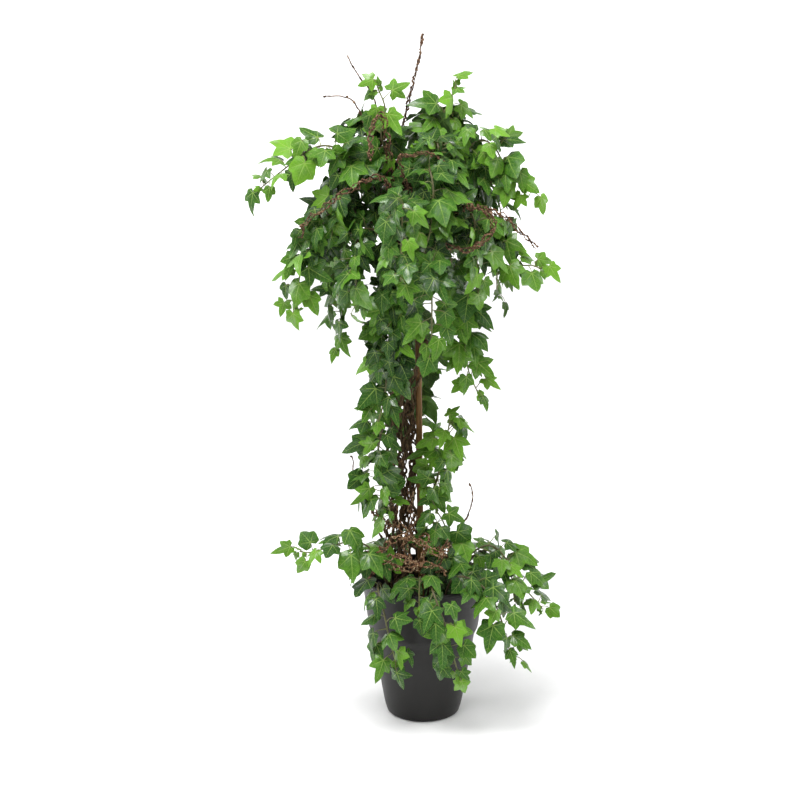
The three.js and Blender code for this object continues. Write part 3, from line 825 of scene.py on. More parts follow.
def finish_ivy_leaf(settings):
    """Semi-gloss blades from blue-green to yellow-green, with pale veins and a pale underside."""
    finish, tree, shader, place = new_finish("ivy_leaf")
    surface = put(tree, "ShaderNodeUVMap", uv_map="blade_map").outputs["UV"]
    veins = use_group(tree, "Ivy veins", {"Vector": surface})
    blotch = mottle(tree, place, 190.0, 1.6)
    age = weighted_sum(tree, [(attribute(tree, "youth"), 1.0), (blotch, 0.34),
                              (attribute(tree, "margin"), 0.10)])
    age = calc(tree, "SUBTRACT", age, 0.17, clamp=True)
    blade = ramp(tree, age, [(0.0, settings.old_leaf), (0.45, settings.full_leaf),
                             (1.0, settings.young_leaf)])
    line = weighted_sum(tree, [(veins["Main"], 0.52), (veins["Rib"], 0.30), (veins["Net"], 0.13)])
    veined = blend_colours(tree, line, blade, settings.vein)
    pale = blend_colours(tree, 0.42, veined, (0.13, 0.22, 0.07))
    back = attribute(tree, "underside")
    fill(tree, shader, {"Base Color": blend_colours(tree, back, veined, pale)})
    gloss = weighted_sum(tree, [(blotch, 0.14), (back, 0.22)])
    fill(tree, shader, {"Roughness": calc(tree, "ADD", gloss, 0.28)})
    relief = weighted_sum(tree, [(veins["Main"], -1.0), (veins["Rib"], -0.45),
                                 (veins["Net"], -0.2), (blotch, 0.35)])
    wax = mottle(tree, place, 55.0, 1.6)
    waxed = smooth_step(tree, wax, 0.48, 0.74, 0.0, 1.0)
    fill(tree, shader, {"Coat Weight": waxed, "Coat Roughness": 0.24, "Subsurface Weight": 0.0})
    fill(tree, shader, {"Normal": bump(tree, relief, 0.0004, 0.8), "Specular IOR Level": 0.16})
    return finish


def finish_ivy_stem(settings):
    """Brown older runners that turn to yellow-green stalks."""
    finish, tree, shader, place = new_finish("ivy_stem")
    blotch = mottle(tree, place, 260.0, 1.2)
    fresh = weighted_sum(tree, [(attribute(tree, "youth"), 1.0), (blotch, 0.3)])
    fresh = calc(tree, "SUBTRACT", fresh, 0.15, clamp=True)
    skin = ramp(tree, fresh, [(0.0, settings.runner), (0.5, (0.105, 0.105, 0.032)),
                              (1.0, settings.stalk)])
    fill(tree, shader, {"Base Color": skin, "Roughness": 0.52,
                        "Normal": bump(tree, blotch, 0.0003, 0.7)})
    return finish


def finish_papery_twig(settings, name="papery_twig", painted_light_factor=1.0):
    """Reddish-brown beaded twigs with blotches of paler pink, partly the skin's own colour and partly
    painted highlight.
    """
    # A factor over 1 lightens the whole twig with painted light.
    finish, tree, shader, place = new_finish(name)
    blotch = mottle(tree, place, 420.0, 1.7)
    flake = mottle(tree, place, 1300.0, 1.8)
    # The last stop is paler pink: partly the skin's own colour, partly a painted highlight.
    skin = ramp(tree, blotch, [(0.25, (0.022, 0.010, 0.008)),
                               (0.55, shaded(settings.papery, painted_light_factor)),
                               (0.85, shaded((0.460, 0.300, 0.185), painted_light_factor, most=0.62))])
    shade = ramp(tree, flake, [(0.2, 0.55), (0.8, 1.15)])
    fill(tree, shader, {"Base Color": blend_colours(tree, 1.0, skin, shade, "MULTIPLY"),
                        "Roughness": calc(tree, "MULTIPLY_ADD", blotch, 0.25, 0.45),
                        "Specular IOR Level": 0.2,
                        "Normal": bump(tree, flake, 0.0005, 0.9)})
    return finish


def finish_tangle_painted_light(settings):
    """The same twigs, lightened with painted light where they lie in the skirt's shade above the
    soil.
    """
    # The factor paints light onto the twigs that lie in the skirt's shade.
    return finish_papery_twig(settings, "dry_tangle", 1.8)


def finish_bark(settings):
    """Dark, ridged bark with a trace of green where it is damp."""
    finish, tree, shader, place = new_finish("woody_bark")
    fibre = use_group(tree, "Fibre", {"Vector": place, "Across": 1100.0, "Along": 130.0})
    blotch = mottle(tree, place, 45.0, 1.6)
    skin = ramp(tree, fibre["Streak"], [(0.30, shaded(settings.bark, 0.35)),
                                        (0.52, settings.bark), (0.75, shaded(settings.bark, 2.4))])
    damp = smooth_step(tree, blotch, 0.58, 0.8, 0.0, 0.4)
    fill(tree, shader, {"Base Color": blend_colours(tree, damp, skin, (0.030, 0.036, 0.014)),
                        "Roughness": 0.78, "Specular IOR Level": 0.15,
                        "Normal": bump(tree, fibre["Height"], 0.0009, 0.9)})
    return finish


def finish_stake(settings):
    """Smooth brown wood with fine grain along the stake."""
    finish, tree, shader, place = new_finish("stake_wood")
    fibre = use_group(tree, "Fibre", {"Vector": place, "Across": 900.0, "Along": 26.0})
    blotch = mottle(tree, place, 18.0, 1.2)
    skin = ramp(tree, fibre["Streak"], [(0.28, shaded(settings.stake, 0.55)), (0.5, settings.stake),
                                        (0.74, shaded(settings.stake, 1.5))])
    worn = ramp(tree, blotch, [(0.25, 0.72), (0.75, 1.12)])
    fill(tree, shader, {"Base Color": blend_colours(tree, 1.0, skin, worn, "MULTIPLY"),
                        "Roughness": calc(tree, "MULTIPLY_ADD", fibre["Streak"], 0.2, 0.48),
                        "Specular IOR Level": 0.22,
                        "Normal": bump(tree, fibre["Height"], 0.0003, 0.7)})
    return finish


def finish_pot(settings):
    """Dark moulded plastic with a soft sheen and a very fine grain."""
    finish, tree, shader, place = new_finish("pot_plastic")
    cloud = mottle(tree, place, 14.0, 1.0)
    grain = mottle(tree, place, 1500.0, 1.4)
    tint = ramp(tree, cloud, [(0.2, 0.86), (0.8, 1.12)])
    speck = ramp(tree, grain, [(0.2, 0.92), (0.8, 1.06)])
    skin = blend_colours(tree, 1.0, settings.shell, tint, "MULTIPLY")
    rough = weighted_sum(tree, [(cloud, 0.08), (grain, 0.05)])
    fill(tree, shader, {"Base Color": blend_colours(tree, 1.0, skin, speck, "MULTIPLY"),
                        "Roughness": calc(tree, "ADD", rough, 0.38), "Specular IOR Level": 0.28,
                        "Normal": bump(tree, grain, 0.00006, 0.5)})
    return finish


def finish_soil(settings):
    """Damp dark soil with patches of moss."""
    finish, tree, shader, place = new_finish("soil")
    patch = mottle(tree, place, 48.0, 2.0)
    grit = mottle(tree, place, 900.0, 1.8)
    moss = smooth_step(tree, patch, 0.45, 0.7, 0.0, 0.85)
    ground = blend_colours(tree, moss, settings.earth, settings.moss)
    shade = ramp(tree, grit, [(0.2, 0.45), (0.8, 1.7)])
    fill(tree, shader, {"Base Color": blend_colours(tree, 1.0, ground, shade, "MULTIPLY"),
                        "Roughness": 0.92,
                        "Normal": bump(tree, grit, 0.0012, 1.0)})
    return finish


def finish_floor(settings):
    """Plain pale paper for the floor and backdrop."""
    finish, tree, shader, place = new_finish("paper_floor")
    tooth = mottle(tree, place, 30.0, 1.0)
    paper = ramp(tree, tooth, [(0.3, shaded(settings.floor, 0.98)), (0.7, settings.floor)])
    fill(tree, shader, {"Base Color": paper, "Roughness": 0.9})
    return finish


FINISHES = {
    "ivy_leaf": (finish_ivy_leaf, "leaves"), "ivy_stem": (finish_ivy_stem, "leaves"),
    "papery_twig": (finish_papery_twig, "wood"), "dry_tangle": (finish_tangle_painted_light, "wood"),
    "woody_bark": (finish_bark, "wood"),
    "stake_wood": (finish_stake, "wood"), "pot_plastic": (finish_pot, "pot"),
    "soil": (finish_soil, "soil"), "paper_floor": (finish_floor, "stage"),
}


def finish_named(name):
    """The finish of that name, made the first time it is asked for."""
    make, part = FINISHES[name]
    settings = getattr(bpy.context.scene.potted_ivy, part)
    return bpy.data.materials.get(f"{name}_finish") or make(settings)

# ---------------------------------------------------------------------------------------------
# Leaf shapes: one blade a unit wide, lying in XY, its stalk at the origin and its tip along +Y.
# ---------------------------------------------------------------------------------------------

# Each shape's turning points from the tip round to the stalk's notch: bearing in degrees, radius.
# They are the tip, a notch, the side lobe, a notch, the hind lobe and the notch at the stalk.
LEAF_SHAPES = {
    "leaf_a_broad": [(0, 0.96), (27, 0.53), (53, 0.66), (84, 0.41), (114, 0.44), (176, 0.05)],
    "leaf_b_long": [(0, 1.03), (25, 0.47), (50, 0.62), (80, 0.35), (112, 0.39), (176, 0.05)],
    "leaf_c_star": [(0, 0.96), (29, 0.43), (56, 0.69), (87, 0.36), (120, 0.46), (176, 0.05)],
    "leaf_d_shield": [(0, 0.90), (30, 0.60), (50, 0.66), (84, 0.45), (110, 0.42), (176, 0.06)],
    "leaf_e_young": [(0, 0.96), (30, 0.50), (49, 0.56), (85, 0.36), (112, 0.32), (176, 0.06)],
    "leaf_f_skew": [(0, 0.98), (26, 0.50), (54, 0.65), (82, 0.38), (118, 0.43), (176, 0.05)],
}
# The same turning points on the blade's map, where the veins lie.
MAP_BEARINGS = [0, 27, 52, 83, 114, 176]
# How the outline runs from one turning point to the next: points between, and how sharply a lobe
# narrows towards its point.
OUTLINE_RUNS = [(2, 1.15), (2, 1.1), (1, 1.1), (1, 1.1), (1, 0.8)]
INNER_RING = 0.54


def half_outline(turns):
    """One side of a blade's rim, tip to notch: bearing, radius, bearing on the map, notch share."""
    rim = []
    for run, (between, sharpness) in enumerate(OUTLINE_RUNS):
        (start, start_radius), (end, end_radius) = turns[run], turns[run + 1]
        map_start, map_end = MAP_BEARINGS[run], MAP_BEARINGS[run + 1]
        for step in range(between + 1):
            share = step / (between + 1)
            narrowing = 1 - (1 - share) ** sharpness if run % 2 == 0 else share ** sharpness
            rim.append((start + (end - start) * share,
                        start_radius + (end_radius - start_radius) * narrowing,
                        map_start + (map_end - map_start) * share,
                        share if run % 2 == 0 else 1 - share))
    rim.append((*turns[-1], MAP_BEARINGS[-1], 0.0))
    return rim


def blade_height(across, along, notch, ring, pleat):
    """A blade folds along its midrib, droops to its tip and swells between its veins."""
    reach = math.hypot(across, along)
    fold = BEND["fold"] * abs(across) + BEND["droop"] * along ** 2
    curl = 0.05 * reach ** 3 * (1 - notch)
    return -fold - curl * ring + pleat * notch * (1.0 if ring < 1 else 0.35)


def leaf_shape(name, turns, settings):
    """A thin closed blade: an upper and a lower skin that meet at the rim."""
    half = half_outline(turns)
    lean = 0.05 if name.endswith("skew") else 0.0
    rim = [(1, point) for point in half] + [(-1, point) for point in reversed(half[1:-1])]
    size = len(rim)
    corners, maps, insides = [(0, 0, 0)], [(0.5, UV_STALK)], [0.0]
    for ring in (INNER_RING, 1.0):
        for hand, (bearing, radius, map_bearing, notch) in rim:
            turn, map_turn = math.radians(bearing), math.radians(map_bearing)
            longer = 1 + lean * hand * math.sin(turn)
            across = hand * ring * radius * longer * math.sin(turn)
            along = ring * radius * longer * math.cos(turn)
            corners.append((across, along,
                            blade_height(across, along, notch, ring, settings.pleat)))
            maps.append((0.5 + UV_SCALE * hand * ring * radius * math.sin(map_turn),
                         UV_STALK + UV_SCALE * ring * radius * math.cos(map_turn)))
            insides.append(1.0 if ring == 1.0 else 0.0)
    lower = len(corners)
    for index in range(size + 1):
        across, along, height = corners[index]
        corners.append((across, along, height - settings.thickness))
        maps.append(maps[index])
        insides.append(0.0)
    faces, backs = [], []
    for index in range(size):
        after = (index + 1) % size
        inner, inner_after = 1 + index, 1 + after
        outer, outer_after = 1 + size + index, 1 + size + after
        faces += [(0, inner_after, inner), (inner, inner_after, outer_after, outer),
                  (lower, lower + inner, lower + inner_after),
                  (lower + inner, outer, outer_after, lower + inner_after)]
        backs += [0.0, 0.0, 1.0, 1.0]
    mesh = mesh_from(name, corners, faces=faces,
                     attributes=[("across_along", "FLOAT_VECTOR",
                                  [(corner[0], corner[1], 0.0) for corner in corners]),
                                 ("margin", "FLOAT", insides)])
    mesh.attributes.new("underside", "FLOAT", "FACE").data.foreach_set("value", backs)
    sheet_map = mesh.uv_layers.new(name="blade_map")
    for loop in mesh.loops:
        sheet_map.data[loop.index].uv = maps[loop.vertex_index]
    sharp = mesh.attributes.new("sharp_edge", "BOOLEAN", "EDGE")
    outside = range(1 + size, 1 + 2 * size)
    sharp.data.foreach_set("value", [all(corner in outside for corner in edge.vertices)
                                     for edge in mesh.edges])
    return bpy.data.objects.new(name, mesh)


def leaf_shapes(settings):
    """The collection of leaf shapes that the vines pick from."""
    shapes = bpy.data.collections.get("Leaf shapes")
    if shapes is None:
        shapes = bpy.data.collections.new("Leaf shapes")
        for name, turns in LEAF_SHAPES.items():
            shapes.objects.link(leaf_shape(name, turns, settings))
    return shapes


def clear_leaf_shapes():
    shapes = bpy.data.collections["Leaf shapes"]
    for shape in list(shapes.objects):
        mesh = shape.data
        bpy.data.objects.remove(shape)
        bpy.data.meshes.remove(mesh)
    bpy.data.collections.remove(shapes)


# ---------------------------------------------------------------------------------------------
# Vines: a skeleton of stems, stalks and leaf places, from which a tree of nodes grows the vine.
# ---------------------------------------------------------------------------------------------

SKELETON_KEYS = ("thick", "youth", "blade", "facing", "pointing", "width", "shape", "curl", "cup",
                 "phase")


class Skeleton:
    """Lines and places in millimetres, each corner with what the nodes need to know there."""

    def __init__(self):
        self.corners, self.edges = [], []
        self.values = {key: [] for key in SKELETON_KEYS}

    def corner(self, place, **given):
        self.corners.append(np.asarray(place, float) * MM)
        for key in SKELETON_KEYS:
            blank = (0.0, 0.0, 0.0) if key in ("facing", "pointing") else 0.0
            self.values[key].append(given.get(key, blank))

    def line(self, places, thick, youth):
        """A chain of corners. Thickness in metres and youth are given for each."""
        first = len(self.corners)
        for place, radius, fresh in zip(places, thick, youth):
            self.corner(place, thick=radius, youth=fresh)
        self.edges += [(index, index + 1) for index in range(first, len(self.corners) - 1)]

    def leaf(self, seat, youth, shape, random):
        """A leaf place. Each blade tilts, curls along and cups across in its own way."""
        normal = unit(seat["normal"] + scatter(random) * POSE["tilt"])
        tip = across(seat["tip"], normal)
        self.corner(seat["base"], blade=1.0, facing=tuple(normal), pointing=tuple(tip),
                    width=seat["width"] * BLADE_SHARE * MM, youth=youth, shape=float(shape),
                    curl=drawn(random, *POSE["curl"]), cup=drawn(random, *POSE["cup"]),
                    phase=2 * math.pi * random())

    def mesh(self, name):
        kinds = {"facing": "FLOAT_VECTOR", "pointing": "FLOAT_VECTOR"}
        return mesh_from(name, self.corners, self.edges, attributes=[
            (key, kinds.get(key, "FLOAT"), values) for key, values in self.values.items()])


# Each pair below is a start and a spread that a draw falls between, but for the one named stray.
# Widths are shares of a grown leaf's width or, for filling leaves, of the seat's own width.
# Reaches are millimetres.
FILLING_WIDTH = (0.55, 0.3)
# Older scales an inner leaf's share down, which darkens it: partly its age, partly painted shade.
INNER = {"start": 0.04, "head_run": 0.62, "run": 0.9, "reach": (9, 15), "width": (0.62, 0.34),
         "older": 0.4}
TIP = {"leaves": 3, "width": (0.26, 0.16), "reach": (2.5, 2.5), "first": 0.55, "step": 0.2}
# How far a blade tilts off its seat, curls along its length and cups across its width.
POSE = {"tilt": 0.34, "curl": (0.30, -0.85), "cup": (0.30, -1.05)}
# What a leaf adds to its vine's youth, from 0 for old to 1 for young. Stray is the weight of each
# of two draws. Inside darkens filling leaves in the plant's heart, partly as older leaves and
# partly as painted shade.
YOUTH = {"base": -0.08, "stray": (0.5, 0.25), "to_tip": 0.26, "tip_from": 0.45, "bright": 0.34,
         "bright_over": 0.88, "inside": -0.16, "small": (0.62, 0.35), "stalk": (0.45, 0.5)}
# Leaves under the first share of a grown leaf's width look young, and under the second one take
# the young leaf's shape, which is fifth in the list.
SMALL_WIDTH = 0.45
YOUNG_WIDTH = 0.62
YOUNG_SHAPE = 4
STALK_BOW = (0.10, 0.12)


def stalk_line(seat, bow, steps=6):
    """A leaf stalk: out of its stem, bowed, and in under the foot of the blade."""
    start, end = seat["root"], seat["base"] - seat["normal"] * 0.2
    reach = np.linalg.norm(end - start)
    leave = start + (seat["stalk"] * 0.35 + seat["normal"] * bow) * reach
    arrive = end - (seat["tip"] * 0.25 + seat["stalk"] * 0.2 - seat["normal"] * bow) * reach
    places = []
    for step in range(steps + 1):
        t = step / steps
        places.append((1 - t) ** 3 * start + 3 * (1 - t) ** 2 * t * leave
                      + 3 * (1 - t) * t ** 2 * arrive + t ** 3 * end)
    return places


def filling_leaves(vine, grown):
    """Smaller leaves where the frame's vine has a bare site, kept inside the frame's box."""
    low, high = in_mm(FRAME_BOX)
    found = []
    over_pot = "trail" in vine.name or "skirt" in vine.name
    for site in range(0 if over_pot else vine.sites):
        if site in grown:
            continue
        seat = leaf_seat(vine, site, attempt=9)
        random = seeded(vine.seed * 77 + site)
        seat["width"] *= drawn(random, *FILLING_WIDTH)
        end = seat["base"] + seat["tip"] * seat["width"]
        stray = np.maximum(low - end, end - high).max()
        if stray < 0 and clear_of_pot(end) and clear_of_pot(seat["base"]):
            found.append(seat)
    return found


# Inner leaves for each millimetre of a vine, by what its name holds, and where the head starts.
INNER_DENSITY = {"crown": 0.16, "cascade": 0.26, "hanging_left": 0.14, "trunk_back": 0.30,
                 "trunk": 0.15}
HEAD_DENSITY = 0.065
HEAD_FOOT = 500


def inner_leaves(vine):
    """Older leaves close round a vine's inner run, which fill the heart of the plant. They count as
    older still, so they come out darker: partly for their age and partly as painted shade.
    """
    random = seeded(vine.seed * 191 + 5)
    in_head = vine.spine[0][2] > HEAD_FOOT
    density = next((share for part, share in INNER_DENSITY.items() if part in vine.name),
                   HEAD_DENSITY if in_head else 0.0)
    amount = int(vine.route.length * density)
    run = INNER["head_run"] if in_head else INNER["run"]
    found = []
    for index in range(amount):
        share = INNER["start"] + run * (index + random()) / amount
        root = vine.spine_point(share)
        normal = unit(vine.facing(root) + scatter(random) * 0.9 + UP * 0.3)
        stalk = unit(normal * 0.4 + scatter(random))
        hang = stalk * 0.5 - UP * 0.8 + scatter(random) * 0.6
        base = root + stalk * drawn(random, *INNER["reach"])
        tip = across(hang, normal)
        width = LEAF["width"] * drawn(random, *INNER["width"])
        if clear_of_pot(base) and clear_of_pot(base + tip * width):
            found.append({"share": share * INNER["older"], "root": root, "base": base, "stalk": stalk,
                          "normal": normal, "tip": tip, "width": width})
    return found


def tip_leaves(vine):
    """Tiny new leaves that close round the end of a vine."""
    end, before = vine.spine[-1], vine.spine[-2]
    along = unit(end - before)
    random = seeded(vine.seed * 313 + 7)
    found = []
    for index in range(TIP["leaves"]):
        normal = unit(vine.facing(end) + scatter(random) * 0.8)
        tip = across(unit(along + scatter(random) * 0.7 - UP * 0.3), normal)
        width = LEAF["width"] * drawn(random, *TIP["width"])
        root = before + (end - before) * (TIP["first"] + TIP["step"] * index)
        stalk = unit(tip + normal * 0.4 + scatter(random) * 0.5)
        base = root + stalk * drawn(random, *TIP["reach"])
        found.append({"share": 1.0, "root": root, "base": base, "stalk": tip, "normal": normal,
                      "tip": tip, "width": width})
    return found


def clear_of_pot(place):
    """Whether a place lies outside the pot's wall and above the soil."""
    radius = math.hypot(place[0], place[1])
    inside = radius < POT_RIM / MM - 9 and place[2] > SOIL_TOP + 3
    outside = radius > POT_RIM / MM + 4
    return inside or outside or place[2] > POT_HEIGHT / MM + 6


def leaf_youth(vine, seat, random, filling=False):
    """How young a leaf looks: dark inside, partly as older leaves and partly as painted shade,
    brighter to the tip, each its own shade.
    """
    wide, narrow = YOUTH["stray"]
    spread = wide * (random() - 0.5) + narrow * (random() - 0.5)
    tip_from = YOUTH["tip_from"]
    to_tip = YOUTH["to_tip"] * max(seat["share"] - tip_from, 0) / (1 - tip_from)
    bright = YOUTH["bright"] if random() > YOUTH["bright_over"] else 0.0
    # Filling leaves on the inner half come out darker: partly older leaves, partly painted shade.
    inside = YOUTH["inside"] if filling and seat["share"] < 0.5 else 0.0
    shade = vine.youth + spread + to_tip + bright + inside + YOUTH["base"]
    return min(max(shade, 0.0), 1.0)


def vine_skeleton(vine, settings):
    """The vine's own stem, its leaf stalks and its leaf places."""
    skeleton = Skeleton()
    steps = max(int(vine.route.length / 5), 8)
    shares = np.linspace(0, 1, steps + 1)
    stem = vine.route.spaced(steps)
    thick = settings.stem_foot + (settings.stem_tip - settings.stem_foot) * shares
    skeleton.line(stem, thick, 0.05 + 0.75 * shares ** 1.3)
    random = seeded(vine.seed * 541 + 3)
    grown = frame_leaves(vine)
    outer = [*grown.values(), *tip_leaves(vine)]
    filling = [*filling_leaves(vine, grown), *inner_leaves(vine)]
    for place, seat in enumerate(outer + filling):
        youth = leaf_youth(vine, seat, random, place >= len(outer))
        size = seat["width"] / LEAF["width"]
        if size < SMALL_WIDTH:
            youth = drawn(random, *YOUTH["small"])
        shape = YOUNG_SHAPE if size < YOUNG_WIDTH else int(random() * len(LEAF_SHAPES))
        skeleton.leaf(seat, youth, shape, random)
        places = stalk_line(seat, drawn(random, *STALK_BOW))
        slim = min(size, 1.0) ** 0.5
        radii = np.linspace(1.0, 0.72, len(places)) * settings.petiole * slim
        fresh = drawn(random, *YOUTH["stalk"])
        skeleton.line(places, radii, [fresh] * len(places))
    return skeleton


def fine_curve(tree, lines, step):
    """Chains of corners as curves of short, even steps."""
    curve = new(tree, "GeometryNodeMeshToCurve", {"Mesh": lines})
    return new(tree, "GeometryNodeResampleCurve", {"Curve": curve, "Length": step}, mode="LENGTH")


def tube_along(tree, lines, radius, sides):
    """Closed round tubes along curves, their radius a value that changes along them."""
    ring = new(tree, "GeometryNodeCurvePrimitiveCircle", {"Resolution": sides, "Radius": 1.0})
    return new(tree, "GeometryNodeCurveToMesh",
               {"Curve": lines, "Profile Curve": ring, "Scale": radius, "Fill Caps": True})


def painted(tree, geometry, finish):
    smooth = new(tree, "GeometryNodeSetShadeSmooth", {"Geometry": geometry, "Shade Smooth": True})
    return new(tree, "GeometryNodeSetMaterial", {"Geometry": smooth, "Material": finish})


def planted(tree, sockets):
    """Copies of a shape on points, made real."""
    copies = new(tree, "GeometryNodeInstanceOnPoints", sockets)
    return new(tree, "GeometryNodeRealizeInstances", {"Geometry": copies})


def random_vector(tree, low, high, seed):
    return new(tree, "FunctionNodeRandomValue", {"Min": low, "Max": high, "Seed": seed},
               data_type="FLOAT_VECTOR")


def shifted(tree, geometry, offset):
    return new(tree, "GeometryNodeSetPosition", {"Geometry": geometry, "Offset": offset})


def joined(tree, out, *parts):
    join = tree.nodes.new("GeometryNodeJoinGeometry")
    for part in parts:
        tree.links.new(part, join.inputs["Geometry"])
    fill(tree, out, {"Geometry": join.outputs["Geometry"]})


def vine_tree():
    """Grows a vine from its skeleton: tubes on the lines, a leaf shape on every leaf place."""
    tree, given, out = geometry_tree("Grow vine", [
        ("Leaf Shapes", "Collection", None), ("Stem Sides", "Int", 7),
        ("Flutter", "Float", 0.09),
        ("Leaf Finish", "Material", None), ("Stem Finish", "Material", None)])
    is_leaf = new(tree, "FunctionNodeCompare", {"A": named(tree, "blade"), "B": 0.5},
                  data_type="FLOAT", operation="GREATER_THAN")
    parts = put(tree, "GeometryNodeSeparateGeometry",
                {"Geometry": given["Geometry"], "Selection": is_leaf}, domain="POINT")
    lines = put(tree, "GeometryNodeMeshToCurve", {"Mesh": parts.outputs["Inverted"]})
    stems = tube_along(tree, lines.outputs["Curve"], named(tree, "thick"), given["Stem Sides"])

    shapes = new(tree, "GeometryNodeCollectionInfo",
                 {"Collection": given["Leaf Shapes"], "Separate Children": True,
                  "Reset Children": True})
    turn = new(tree, "FunctionNodeAxesToRotation",
               {"Primary Axis": named(tree, "facing", "FLOAT_VECTOR"),
                "Secondary Axis": named(tree, "pointing", "FLOAT_VECTOR")},
               primary_axis="Z", secondary_axis="Y")
    pick = new(tree, "FunctionNodeFloatToInt", {0: named(tree, "shape")}, rounding_mode="ROUND")
    leaves = planted(tree, {"Points": parts.outputs["Selection"], "Instance": shapes,
                            "Pick Instance": True, "Instance Index": pick, "Rotation": turn,
                            "Scale": named(tree, "width")})
    place = split(tree, named(tree, "across_along", "FLOAT_VECTOR"))
    wave = calc(tree, "SINE", weighted_sum(tree, [(place["X"], 7.0), (place["Y"], 5.0),
                                                  (named(tree, "phase"), 1.0)]))
    aside, ahead = (calc(tree, "POWER", place[axis], 2.0) for axis in ("X", "Y"))
    lift = weighted_sum(tree, [(wave, calc(tree, "ADD", aside, ahead), given["Flutter"]),
                               (named(tree, "curl"), ahead), (named(tree, "cup"), aside)])
    rise = calc(tree, "MULTIPLY", lift, named(tree, "width"))
    facing = named(tree, "facing", "FLOAT_VECTOR")
    moved = shifted(tree, leaves, vector_calc(tree, "SCALE", facing, rise))
    joined(tree, out, painted(tree, stems, given["Stem Finish"]),
           painted(tree, moved, given["Leaf Finish"]))
    return tree


def build_vine(vine, settings):
    skeleton = vine_skeleton(vine, settings).mesh(f"{vine.name}_skeleton")
    mesh = run_tree("Grow vine", skeleton, vine.name, {
        "Leaf Shapes": leaf_shapes(settings), "Stem Sides": settings.stem_sides,
        "Leaf Finish": finish_named("ivy_leaf"), "Stem Finish": finish_named("ivy_stem")})
    add_piece(f"leafy_{vine.name}", mesh, [vine.name],
              kept=("youth", "margin", "underside", "blade_map"))


def build_vines(settings):
    for vine in vine_list():
        build_vine(vine, settings)
    clear_leaf_shapes()


# ---------------------------------------------------------------------------------------------
# Twigs, woody stems, the twig nest and the stake.
# ---------------------------------------------------------------------------------------------


def twine_tree():
    """Winds strands loosely round lines, each crumpled and beaded, with small buds on them."""
    tree, given, out = geometry_tree("Twine strands", [
        ("Strands", "Int", 3), ("Strand Radius", "Float", 0.0006),
        ("Wander", "Float", 0.002), ("Pitch", "Float", 0.03),
        ("Crumple", "Float", 0.001), ("Step", "Float", 0.0012),
        ("Bead", "Float", 1.0), ("Bead Scale", "Float", 380.0),
        ("Sides", "Int", 6), ("Tip Share", "Float", 0.5),
        ("Bud Spacing", "Float", 0.004), ("Bud Size", "Float", 0.001),
        ("Seed", "Int", 1), ("Finish", "Material", None)])
    fine = fine_curve(tree, given["Geometry"], given["Step"])
    copies = put(tree, "GeometryNodeDuplicateElements",
                 {"Geometry": fine, "Amount": given["Strands"]}, domain="SPLINE")
    copy = copies.outputs["Duplicate Index"]
    along = put(tree, "GeometryNodeSplineParameter").outputs
    normal = new(tree, "GeometryNodeInputNormal")
    tangent = new(tree, "GeometryNodeInputTangent")
    side = vector_calc(tree, "CROSS_PRODUCT", tangent, normal)
    position = new(tree, "GeometryNodeInputPosition")
    apart = calc(tree, "MULTIPLY_ADD", copy, 0.37, given["Seed"])
    sampled = vector_calc(tree, "ADD", position, vector_calc(tree, "SCALE", (3.1, 5.7, 2.3),
                                                             apart))
    loose = split(tree, noise(tree, sampled, 42.0, 1.0, output="Color"))
    turns = weighted_sum(tree, [(calc(tree, "DIVIDE", along["Length"], given["Pitch"]), 1.0),
                                (calc(tree, "DIVIDE", copy, given["Strands"]), 1.0),
                                (loose["X"], 1.6)])
    angle = calc(tree, "MULTIPLY", turns, 2 * math.pi)
    taper = calc(tree, "SUBTRACT", 1.0, calc(tree, "MULTIPLY", along["Factor"],
                                             calc(tree, "SUBTRACT", 1.0, given["Tip Share"])))
    swing = product(tree, given["Wander"], taper, calc(tree, "MULTIPLY_ADD", loose["Y"], 1.8, 0.1))
    off_line, aside = (
        vector_calc(tree, "SCALE", way, product(tree, swing, calc(tree, wave, angle)))
        for way, wave in ((normal, "COSINE"), (side, "SINE")))
    around = vector_calc(tree, "ADD", off_line, aside)
    crumple = noise(tree, sampled, 170.0, 1.5, output="Color")
    crumple = vector_calc(tree, "SUBTRACT", crumple, (0.5, 0.5, 0.5))
    crumple = vector_calc(tree, "SCALE", crumple, calc(tree, "MULTIPLY", given["Crumple"], 4.0))
    twisted = shifted(tree, copies.outputs["Geometry"], vector_calc(tree, "ADD", around, crumple))
    beads = calc(tree, "SUBTRACT", noise(tree, sampled, given["Bead Scale"], 1.0), 0.5)
    beads = calc(tree, "MAXIMUM", beads, 0.0)
    bead = calc(tree, "MULTIPLY_ADD", product(tree, beads, given["Bead"]), 5.0, 0.8)
    radius = product(tree, given["Strand Radius"], taper, bead)
    tubes = tube_along(tree, twisted, radius, given["Sides"])

    spots = put(tree, "GeometryNodeCurveToPoints",
                {"Curve": twisted, "Length": given["Bud Spacing"]}, mode="LENGTH")
    bud = new(tree, "GeometryNodeMeshUVSphere", {"Radius": 1.0, "Segments": 7, "Rings": 5})
    shape = random_vector(tree, (0.5, 0.5, 0.6), (1.15, 1.15, 1.6), given["Seed"])
    chosen = put(tree, "FunctionNodeRandomValue",
                 {"Probability": 0.5, "Seed": given["Seed"]}, data_type="BOOLEAN")
    stray = random_vector(tree, (-0.7, -0.7, -0.7), (0.7, 0.7, 0.7), 77)
    strayed = shifted(tree, spots.outputs["Points"],
                      vector_calc(tree, "SCALE", stray, given["Bud Size"]))
    buds = planted(tree, {"Points": strayed, "Instance": bud, "Selection": chosen.outputs[3],
                          "Rotation": spots.outputs["Rotation"],
                          "Scale": vector_calc(tree, "SCALE", shape, given["Bud Size"])})
    joined(tree, out, painted(tree, tubes, given["Finish"]),
           painted(tree, buds, given["Finish"]))
    return tree


def line_mesh(name, *lines):
    """Chains of corners, given in millimetres."""
    skeleton = Skeleton()
    for places in lines:
        skeleton.line(places, [0.0] * len(places), [0.0] * len(places))
    return skeleton.mesh(name)


